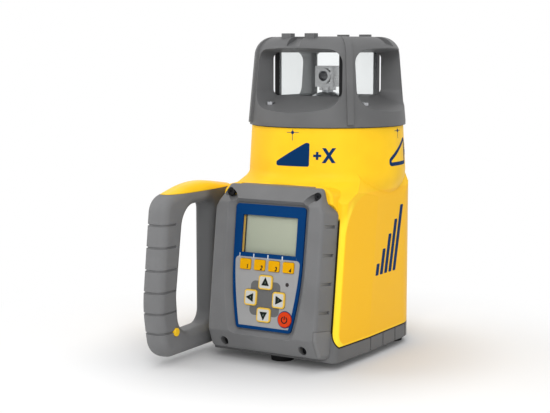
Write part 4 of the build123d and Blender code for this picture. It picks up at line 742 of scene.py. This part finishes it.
def film_of_outline(outline, place, lift, sink, rings=5):
    """Points and faces of a closed film over a star-shaped outline, which runs counterclockwise.

    The outline is filled by shrinking it: middle + t * (edge - middle), with t from 0 to 1.
    """
    middle = outline.mean(0)
    shares = np.linspace(0.0, 1.0, rings + 1)[1:]
    loops = middle + shares[:, None, None] * (outline - middle)
    flat = np.vstack([loops.reshape(-1, 2), middle[None]])
    skins = [place(flat[:, 0], flat[:, 1], np.full(len(flat), height)) for height in (lift, -sink)]
    count, size = len(outline), len(flat)
    inner = shell_faces(rings, count, True)
    ahead = np.arange(count)
    fan = np.stack([np.full(count, size - 1), ahead, (ahead + 1) % count], -1)
    rim = (rings - 1) * count + ahead
    rim_next = (rings - 1) * count + (ahead + 1) % count
    walls = np.stack([rim, rim + size, rim_next + size, rim_next], -1)
    faces = [*inner[:, ::-1], *fan, *(inner + size), *(fan[:, ::-1] + size), *walls]
    return np.vstack(skins), faces


def film_of_stroke(path, width, place, lift, sink, closed=False):
    """Points and faces of a closed film along a path: the path shifted half the width to either side.

    At a bend the shift grows to keep the width, as 1 over the cosine of half the bend, up to MITRE_LIMIT.
    """
    ahead = np.roll(path, -1, 0) - path
    behind = path - np.roll(path, 1, 0)
    if not closed:
        ahead[-1] = behind[-1]
        behind[0] = ahead[0]
    both = unit(ahead) + unit(behind)
    sideways = np.stack([-both[:, 1], both[:, 0]], -1)
    length = np.linalg.norm(sideways, axis=1, keepdims=True)
    sideways = sideways / length * np.minimum(2.0 / length, MITRE_LIMIT)
    loops = []
    for share, height in [(0.5, lift), (-0.5, lift), (-0.5, -sink), (0.5, -sink)]:
        flat = path + share * width * sideways
        loops.append(place(flat[:, 0], flat[:, 1], np.full(len(flat), height)))
    last = (len(path) - 1) * 4
    faces = list(shell_faces(len(path), 4, True))
    if closed:
        faces += [[last + j, last + (j + 1) % 4, (j + 1) % 4, j] for j in range(4)]
    else:
        faces += [[3, 2, 1, 0], [last, last + 1, last + 2, last + 3]]
    return np.stack(loops, 1).reshape(-1, 3), faces


def joined(parts):
    """Several (points, faces) shells as one."""
    points, faces, start = [], [], 0
    for some, quads in parts:
        points.append(some)
        faces += [[int(i) + start for i in quad] for quad in quads]
        start += len(some)
    return np.vstack(points), faces


print("film helpers ready")

# %% [markdown]
# A mark must bend with its face, so the long sides of an outline are divided into short ones. Printed shapes
# have slightly round corners, which are arcs between the points where the round leaves each side.

# %% Divided and rounded outlines
ARC_STEPS, OUTLINE_SPACING = 6, 1.5


def along(path, spacing):
    """A polyline divided evenly, with its own corners kept."""
    path = np.asarray(path, float)
    lengths = np.r_[0.0, np.cumsum(np.linalg.norm(np.diff(path, axis=0), axis=1))]
    count = max(2, int(lengths[-1] / spacing) + 1)
    at = np.unique(np.r_[np.linspace(0.0, lengths[-1], count), lengths])
    return np.stack([np.interp(at, lengths, path[:, k]) for k in (0, 1)], -1)


def rounded_outline(corners, radius):
    """A convex polygon, counterclockwise, with its corners rounded by arcs and its sides divided evenly.

    An arc starts the radius times the tangent of half the turn before its corner.
    """
    corners = np.asarray(corners, float)
    into = unit(corners - np.roll(corners, 1, 0))
    away = unit(np.roll(corners, -1, 0) - corners)
    turn = np.arccos(np.clip((into * away).sum(1), -1, 1))
    start = corners - into * (radius * np.tan(turn / 2))[:, None]
    centre = start + radius * np.stack([-into[:, 1], into[:, 0]], -1)
    first = np.arctan2(*(start - centre).T[::-1])
    angles = first[:, None] + np.linspace(0.0, 1.0, ARC_STEPS + 1) * turn[:, None]
    arcs = centre[:, None] + radius * np.stack([np.cos(angles), np.sin(angles)], -1)
    loop = arcs.reshape(-1, 2)
    return along(np.vstack([loop, loop[:1]]), OUTLINE_SPACING)[:-1]


print("outline helpers ready")

# %% [markdown]
# Inks come next: dark blue on the housing, near black and grey on the keys. An ink is thin and uneven.


# %% Inks
def ink(name, colour):
    """Printed ink with slight unevenness in shade and gloss."""
    made = Finish(name)
    uneven = made.noise(0.5, 3.0)
    tint = made.mix(uneven, shaded(colour, 0.88), shaded(colour, 1.08))
    made.surface(Base_Color=tint, Roughness=0.45 + uneven * 0.15, Specular_IOR_Level=0.05)


ink("blue_ink", (0.0010, 0.030, 0.112))
ink("black_ink", (0.010, 0.014, 0.012))
ink("grey_ink", (0.12, 0.16, 0.13))
print("inks ready")

# %% [markdown]
# The neck carries the axis marks that a surveyor lines up with the grade: a wedge for the slope and the axis
# letter, with a small sight line near the cage on each of its four sides. The neck is a cone, so a mark's
# width becomes an angle about the upright axis.

# %% Marks on the neck
NECK_LOW, NECK_HIGH = (82.4, 191.0), (79.8, 235.0)
MARK_TURN, SIDE_MARK_TURN = 3.0, 91.0
INK_LIFT, INK_SINK, MARK_SPACING = 0.12, 0.25, 1.0
WEDGE = [(-18.6, 196.8), (18.6, 196.8), (18.6, 220.6), (14.6, 220.6), (-18.6, 201.2)]
WEDGE_R, WEDGE_LINE = 1.9, 3.8
PLUS_BOX, LETTER_BOX = (26.7, 207.8, 9.6), (31.4, 200.6, 15.0)
LETTER_WIDE, LETTER_BAR, PLUS_ARM, FORK_LOW, FORK_HIGH = 0.94, 0.26, 0.42, 0.4, 0.6
SIGHT_Z, SIGHT_R, SIGHT_POINTS = 230.6, 1.7, 24
HAIR_DOWN, HAIR_UP, HAIR_ASIDE, HAIR_LINE = 8.0, 3.0, 6.8, 0.55


def on_neck(turn):
    """A function that carries (across, height, lift) onto the neck, centred at a bearing from the front.

    The radius falls evenly with the height, and the bearing is the turn plus across over the radius.
    """
    slope = (NECK_HIGH[0] - NECK_LOW[0]) / (NECK_HIGH[1] - NECK_LOW[1])

    def place(across, height, lift):
        radius = NECK_LOW[0] + slope * (height - NECK_LOW[1])
        bearing = math.radians(turn) + across / radius
        return np.stack([(radius + lift) * np.sin(bearing), -(radius + lift) * np.cos(bearing), height], -1)

    return place


def axis_letter(letter, left, base, height):
    """Outline of a bold axis letter or sign, counterclockwise, in a box of that height.

    The X is two crossing bars with level ends and the Y a fork on a stem, both from (left, base) upwards.
    The plus is two equal bars centred there.
    """
    width, bar, arm = height * LETTER_WIDE, height * LETTER_BAR, height * PLUS_ARM
    mid, half, waist = width / 2, bar / 2, height / 2
    low, high = height * FORK_LOW, height * FORK_HIGH
    notch = height * (width - 2 * bar) / (2 * (width - bar))
    shapes = {
        "+": [(-half, -arm), (half, -arm), (half, -half), (arm, -half), (arm, half), (half, half),
              (half, arm), (-half, arm), (-half, half), (-arm, half), (-arm, -half), (-half, -half)],
        "X": [(0, 0), (bar, 0), (mid, notch), (width - bar, 0), (width, 0), (mid + half, waist),
              (width, height), (width - bar, height), (mid, height - notch), (bar, height), (0, height),
              (mid - half, waist)],
        "Y": [(mid - half, 0), (mid + half, 0), (mid + half, low), (width, height), (width - bar, height),
              (mid, high), (bar, height), (0, height), (mid - half, low)],
    }
    outline = np.array([*shapes[letter], shapes[letter][0]], float) + (left, base)
    return along(outline, MARK_SPACING)[:-1]


def axis_mark(name, turn, letter, hollow):
    """One mark on the neck: a wedge, solid or drawn in outline, a plus sign and the axis letter."""
    place = on_neck(turn)
    outline = rounded_outline(WEDGE, WEDGE_R)
    if hollow:
        parts = [film_of_stroke(outline, WEDGE_LINE, place, INK_LIFT, INK_SINK, closed=True)]
    else:
        parts = [film_of_outline(outline, place, INK_LIFT, INK_SINK, rings=12)]
    for sign, box in (("+", PLUS_BOX), (letter, LETTER_BOX)):
        parts.append(film_of_outline(axis_letter(sign, *box), place, INK_LIFT, INK_SINK, rings=8))
    new_piece(name, *joined(parts), "casing", "blue_ink")


def sight_mark(name, turn):
    """A sight line below the cage: a dot where an upright hair and a level one cross."""
    place = on_neck(turn)
    angles = np.linspace(0.0, 2 * math.pi, SIGHT_POINTS + 1)[:-1]
    dot = np.stack([SIGHT_R * np.cos(angles), SIGHT_Z + SIGHT_R * np.sin(angles)], -1)
    parts = [film_of_outline(dot, place, INK_LIFT, INK_SINK)]
    upright = [(0.0, SIGHT_Z - HAIR_DOWN), (0.0, SIGHT_Z + HAIR_UP)]
    level = [(-HAIR_ASIDE, SIGHT_Z), (HAIR_ASIDE, SIGHT_Z)]
    for line in (upright, level):
        path = along(line, MARK_SPACING)
        parts.append(film_of_stroke(path, HAIR_LINE, place, INK_LIFT / 2, INK_SINK))
    new_piece(name, *joined(parts), "casing", "blue_ink")


axis_mark("front_axis_mark", MARK_TURN, "X", hollow=False)
axis_mark("side_axis_mark", MARK_TURN + SIDE_MARK_TURN, "Y", hollow=True)
for sight, bearing in (("front", 0.0), ("right", 90.0), ("rear", 180.0), ("left", 270.0)):
    sight_mark(f"{sight}_sight_mark", MARK_TURN + bearing)
print("neck marks made")

# %% [markdown]
# The right flat side carries a plain graphic in the same dark blue: five slanted bars that step up towards
# the rear. Each is a rounded parallelogram, so one loop makes them all.

# %% Bars on the right side
SIDE_X = 76.0
BAR_COUNT, BAR_START, BAR_PITCH, BAR_WIDE, BAR_R = 5, -35.0, 9.8, 6.6, 1.2
BAR_LOW, BAR_FIRST_HIGH, BAR_RISE, BAR_LEAN = 84.0, 96.0, 14.0, 0.25


def on_right_side(along_y, height, lift):
    """Carry lengths along Y and up onto the right flat: X is SIDE_X plus the lift."""
    return np.stack([SIDE_X + lift, along_y, height], -1)


bars = []
for index in range(BAR_COUNT):
    near = BAR_START + index * BAR_PITCH
    far, high = near + BAR_WIDE, BAR_FIRST_HIGH + index * BAR_RISE
    lean = (high - BAR_LOW) * BAR_LEAN
    bar = [(near, BAR_LOW), (far, BAR_LOW), (far + lean, high), (near + lean, high)]
    bars.append(film_of_outline(rounded_outline(bar, BAR_R), on_right_side, INK_LIFT, INK_SINK, rings=2))
new_piece("right_side_bars", *joined(bars), "casing", "blue_ink")
print("side bars made", len(bars))

# %% [markdown]
# Key symbols ride on their keys, so that a pressed key takes its print along: digits on the soft keys,
# triangles and small digits on the arrows, and the usual broken ring with a bar on the power key.
# A digit is a few strokes in a box of height 1, with arcs for its round parts.

# %% Digits and the keys' top face
KEY_LIFT, KEY_SINK, KEY_TOP_OUT = 0.06, 0.12, 22.9
DIGIT_WIDE, DIGIT_SLANT = 0.8, 0.14


def on_key(centre, raised=0.0):
    """A function that carries (across, up, lift) from a key's middle onto the keys' common top face.

    With v up the lean and w out of it: y = SEAM_Y + v sin - w cos, z = SEAM_Z + v cos + w sin.
    """

    def place(across, up, lift):
        w = KEY_TOP_OUT + (lift + raised)
        v = centre[1] + up
        y = SEAM_Y + v * math.sin(LEAN) - w * math.cos(LEAN)
        z = SEAM_Z + v * math.cos(LEAN) + w * math.sin(LEAN)
        return np.stack([centre[0] + across, y, z], -1)

    return place


def bow(middle, radius, start, end, steps=14):
    """Points of an arc about a middle, between two angles in degrees."""
    angles = np.radians(np.linspace(start, end, steps))
    return np.add(middle, radius * np.stack([np.cos(angles), np.sin(angles)], -1))


DIGITS = {
    "1": [[(0.28, 0.78), (0.52, 1.0), (0.52, 0.0)]],
    "2": [[*bow((0.46, 0.72), 0.28, 165, -30), (0.16, 0.0), (0.80, 0.0)]],
    "3": [bow((0.44, 0.75), 0.25, 150, -80), bow((0.44, 0.27), 0.27, 80, -150)],
    "4": [[(0.62, 0.0), (0.62, 1.0), (0.10, 0.32), (0.86, 0.32)]],
    "5": [[(0.74, 1.0), (0.26, 1.0), (0.22, 0.54), *bow((0.44, 0.30), 0.30, 110, -140)]],
    "6": [[(0.62, 1.0), *bow((0.46, 0.28), 0.28, 165, 525, 20)]],
    "7": [[(0.14, 1.0), (0.78, 1.0), (0.34, 0.0)]],
    "8": [bow((0.46, 0.75), 0.24, -90, 270, 18), bow((0.46, 0.26), 0.27, 90, 450, 18)],
}


def digit(figure, place, left, base, height, width):
    """A digit's strokes as one film. Its points lean to the right by DIGIT_SLANT of their height."""
    parts = []
    for line in DIGITS[figure]:
        a, b = np.array(line).T
        path = np.stack([left + (a * DIGIT_WIDE + b * DIGIT_SLANT) * height, base + b * height], -1)
        parts.append(film_of_stroke(path, width, place, KEY_LIFT, KEY_SINK))
    return joined(parts)


print("digits ready", "".join(DIGITS))

# %% [markdown]
# The soft keys are numbered from left to right. The arrows carry a triangle each with a small digit printed
# over it, so that film lies one lift higher.

# %% Symbols on the keys
SOFT_UP = 0.8
SOFT_DIGIT = {"left": 1.2, "base": -4.2, "height": 3.6, "width": 1.2}
ARROW_DIGIT = {"left": -0.7, "base": -0.9, "height": 1.8, "width": 0.4}
TRIANGLE_SIZE, TRIANGLE_R, TRIANGLE_BEARINGS = 5.5, 0.4, (0.0, 125.0, 235.0)
POWER_LINE, POWER_RING_R, POWER_RING_UP, POWER_BAR_UP = 1.15, 3.1, -0.2, 3.6

for index, figure in enumerate("1234"):
    place = on_key(((index - 1.5) * SOFT_PITCH, SOFT_UP))
    key = f"soft_key_{figure}"
    new_piece(f"{key}_digit", *digit(figure, place, **SOFT_DIGIT), f"{key}_body", "black_ink")

for name, turn, figure in (("right", 0, "7"), ("up", 90, "6"), ("left", 180, "5"), ("down", 270, "8")):
    angle = math.radians(turn)
    middle = (CROSS_REACH * math.cos(angle), CROSS_UP + CROSS_REACH * math.sin(angle))
    bearings = angle + np.radians(TRIANGLE_BEARINGS)
    corners = TRIANGLE_SIZE * np.stack([np.cos(bearings), np.sin(bearings)], -1)
    outline = rounded_outline(corners, TRIANGLE_R)
    shape = film_of_outline(outline, on_key(middle), KEY_LIFT, KEY_SINK, rings=2)
    key = f"arrow_key_{name}"
    new_piece(f"{key}_triangle", *shape, f"{key}_body", "black_ink")
    small = digit(figure, on_key(middle, raised=KEY_LIFT), **ARROW_DIGIT)
    new_piece(f"{key}_digit", *small, f"{key}_body", "grey_ink")

ring_path = bow((0.0, POWER_RING_UP), POWER_RING_R, 120, 420, 40)
bar_path = np.array([(0.0, 0.0), (0.0, POWER_BAR_UP)])
on_power = on_key(POWER_AT)
symbol = [film_of_stroke(line, POWER_LINE, on_power, KEY_LIFT, KEY_SINK) for line in (ring_path, bar_path)]
new_piece("power_key_symbol", *joined(symbol), "power_key_body", "black_ink")
print("key symbols made")

# %% [markdown]
# A real beam aperture is a small coated lens. It is a shallow cap in the rotor's lens ring: its height falls
# off with the square of the distance from its middle, and it closes behind with a flat disc.

# %% Lens of the rotor
LENS_R, LENS_BULGE, LENS_BACK, LENS_SEAT = 5.3, 1.1, 0.6, 1.6


def lens_surface(rows, columns):
    """Cap points at the share t of the radius: height LENS_BULGE * (1 - t squared), with a flat back."""
    t = np.linspace(0.0, 1.0, rows)[1:]
    a = np.linspace(0.0, 2 * math.pi, columns + 1)[:-1]
    tt, aa = np.meshgrid(t, a, indexing="ij")
    across, up = tt * LENS_R * np.cos(aa), tt * LENS_R * np.sin(aa)
    cap = np.stack([across, up, LENS_BULGE * (1 - tt**2)], -1).reshape(-1, 3)
    back = np.stack([LENS_R * np.cos(a), LENS_R * np.sin(a), np.full(columns, -LENS_BACK)], -1)
    points = np.vstack([cap, back, [[0, 0, LENS_BULGE]], [[0, 0, -LENS_BACK]]])
    top, low = len(points) - 2, len(points) - 1
    first = np.arange(columns)
    after = (first + 1) % columns
    fan = np.stack([np.full(columns, top), first, after], -1)
    base = (rows - 1) * columns
    close = np.stack([np.full(columns, low), base + after, base + first], -1)
    return points, [*shell_faces(rows, columns, True), *fan, *close]


def coated():
    """Coated glass seen from outside: nearly black with a violet cast, and less coat at grazing angles."""
    made = Finish("coated_lens")
    grazing = made.node("LayerWeight", None, {"Blend": 0.4}, "Facing")
    haze = made.noise(0.3, 3.0)
    tint = made.mix(haze, (0.012, 0.010, 0.020), (0.020, 0.022, 0.030))
    made.surface(Base_Color=tint, Roughness=0.06 + haze * 0.04, Coat_Weight=0.8 - grazing * 0.3)


coated()
prism_low, prism_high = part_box("rotor_prism")
lens_height = 0.5 * (prism_low.z + prism_high.z) / MM
lens_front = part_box("rotor_head")[0].y / MM + LENS_SEAT
cap, lens_faces = lens_surface(rows=10, columns=48)
lens_points = np.stack([cap[:, 0], lens_front - cap[:, 2], lens_height + cap[:, 1]], -1)
new_piece("rotor_lens", lens_points, lens_faces, "rotor", "coated_lens")
print("lens at height", round(lens_height, 2))

# %% [markdown]
# The floor and its backdrop are one white sweep. A plain white floor would either look grey or lose the
# object's shadow, so the camera sees paper near the object, with a painted shadow where it stands, and pure
# white further out. Diffuse light sees paper everywhere.

# %% Floor
SHADOW_X, SHADOW_Y = -10.0, -60.0
CONTACT_SHADOW, WHITE_OUT, LEAST_WHITE = (250.0, 110.0), (170.0, 430.0), 0.04


def studio_floor():
    """A white sweep that keeps the object's shadow: white as the camera sees it, pale for diffuse light."""
    made = Finish("studio_floor")
    slow = made.noise(0.002, 2.0)
    x, y, z = made.axes()
    x, y = x - SHADOW_X, y - SHADOW_Y
    away = (x * x + y * y + z * z) ** 0.5
    seen = made.node("LightPath", out="Is Camera Ray")
    for ray in ("Is Glossy Ray", "Is Transmission Ray"):
        seen = seen.higher(made.node("LightPath", out=ray))
    tint = made.mix(slow, (0.86, 0.86, 0.86), (0.89, 0.89, 0.89))
    # Painted shadow: for the camera the paper darkens near where the object stands.
    tint = made.mix(made.step(away, *CONTACT_SHADOW) * seen, tint, (0.70, 0.70, 0.705))
    sockets = {"Base Color": tint, "Roughness": 0.8, "Specular IOR Level": 0.1}
    paper = made.node("BsdfPrincipled", None, sockets)
    white = made.node("Emission", None, {"Color": (1.0, 1.0, 1.0), "Strength": 1.0})
    share = seen * (LEAST_WHITE + made.step(away, *WHITE_OUT) * (1 - LEAST_WHITE))
    made.layered(share, paper, white)


def sweep(half_width, front, back, rise, bend):
    """Floor profile carried along X, in metres: flat up to the bend, a quarter circle, then straight up."""
    flat = np.linspace(front, back - bend, 20)
    turn = np.linspace(0.0, math.pi / 2, 24)[1:]
    profile = np.vstack([
        np.stack([flat, np.zeros_like(flat)], -1),
        np.stack([back - bend + bend * np.sin(turn), bend - bend * np.cos(turn)], -1),
        np.array([[back, rise]]),
    ])
    x = np.linspace(-half_width, half_width, 12)
    xx, row = np.meshgrid(x, np.arange(len(profile)), indexing="ij")
    points = np.stack([xx, profile[row, 0], profile[row, 1]], -1).reshape(-1, 3)
    return points, shell_faces(len(x), len(profile), False)


studio_floor()
floor_points, floor_faces = sweep(half_width=9.0, front=-9.0, back=4.0, rise=6.0, bend=2.0)
floor = flat_mesh("floor", floor_points, floor_faces, "studio_floor")
print("floor faces", len(floor_faces))

# %% [markdown]
# Light is even: a large lamp at the front right, a weaker one at the left and a third one straight above.
# The sky is white too, dimmer as a light than as the camera sees it, so that every view has a white ground.

# %% Sky and lamps
SKY_LIGHT, SKY_SEEN = 0.58, 1.0
AIM = (0.0, -0.03, 0.16)

world = bpy.data.worlds.new("studio")
bpy.context.scene.world = world
sky = Tree(world, "OutputWorld")
whites = [sky.node("Background", None, {"Color": (1.0, 1.0, 1.0), "Strength": strength})
          for strength in (SKY_LIGHT, SKY_SEEN)]
sky.layered(sky.node("LightPath", out="Is Camera Ray"), *whites)


def softbox(name, at, size, power):
    """A square area lamp at a place in metres, facing the object."""
    lamp = bpy.data.lights.new(name, "AREA")
    lamp.size = size
    lamp.energy = power
    box = linked(name, lamp)
    away = Vector(at) - Vector(AIM)
    box.location = at
    box.rotation_euler = away.to_track_quat("Z", "Y").to_euler()


softbox("key_light", (1.0, -1.75, 1.3), size=1.2, power=25.0)
softbox("fill_light", (-1.8, -0.9, 1.1), size=1.4, power=13.0)
softbox("top_light", (0.0, 0.0, 2.0), size=2.0, power=14.0)
print("lights placed", len(bpy.data.lights))

# %% [markdown]
# The camera stands as the photographer's did: about 29 degrees round to the right of the panel, level with
# the cage's ceiling and looking slightly down. The focal length comes from how much the body narrows with
# distance.

# %% Camera
IMAGE_WIDTH = 550
FOCAL_PIXELS = 1285.0
BEARING, DISTANCE, HEIGHT = math.radians(29.0), 1.363, 0.311
PITCH, YAW = math.radians(6.86), math.radians(2.34)
camera_data = bpy.data.cameras.new("camera")
camera_data.sensor_width = 36.0
camera_data.lens = FOCAL_PIXELS / IMAGE_WIDTH * camera_data.sensor_width
camera_data.clip_start, camera_data.clip_end = 0.05, 60.0
camera = linked("camera", camera_data)
camera.location = (DISTANCE * math.sin(BEARING), -DISTANCE * math.cos(BEARING), HEIGHT)
camera.rotation_euler = (math.pi / 2 - PITCH, 0.0, BEARING + YAW)
bpy.context.scene.camera = camera
bpy.context.scene.view_settings.view_transform = "Standard"
print("camera lens", round(camera_data.lens, 1))
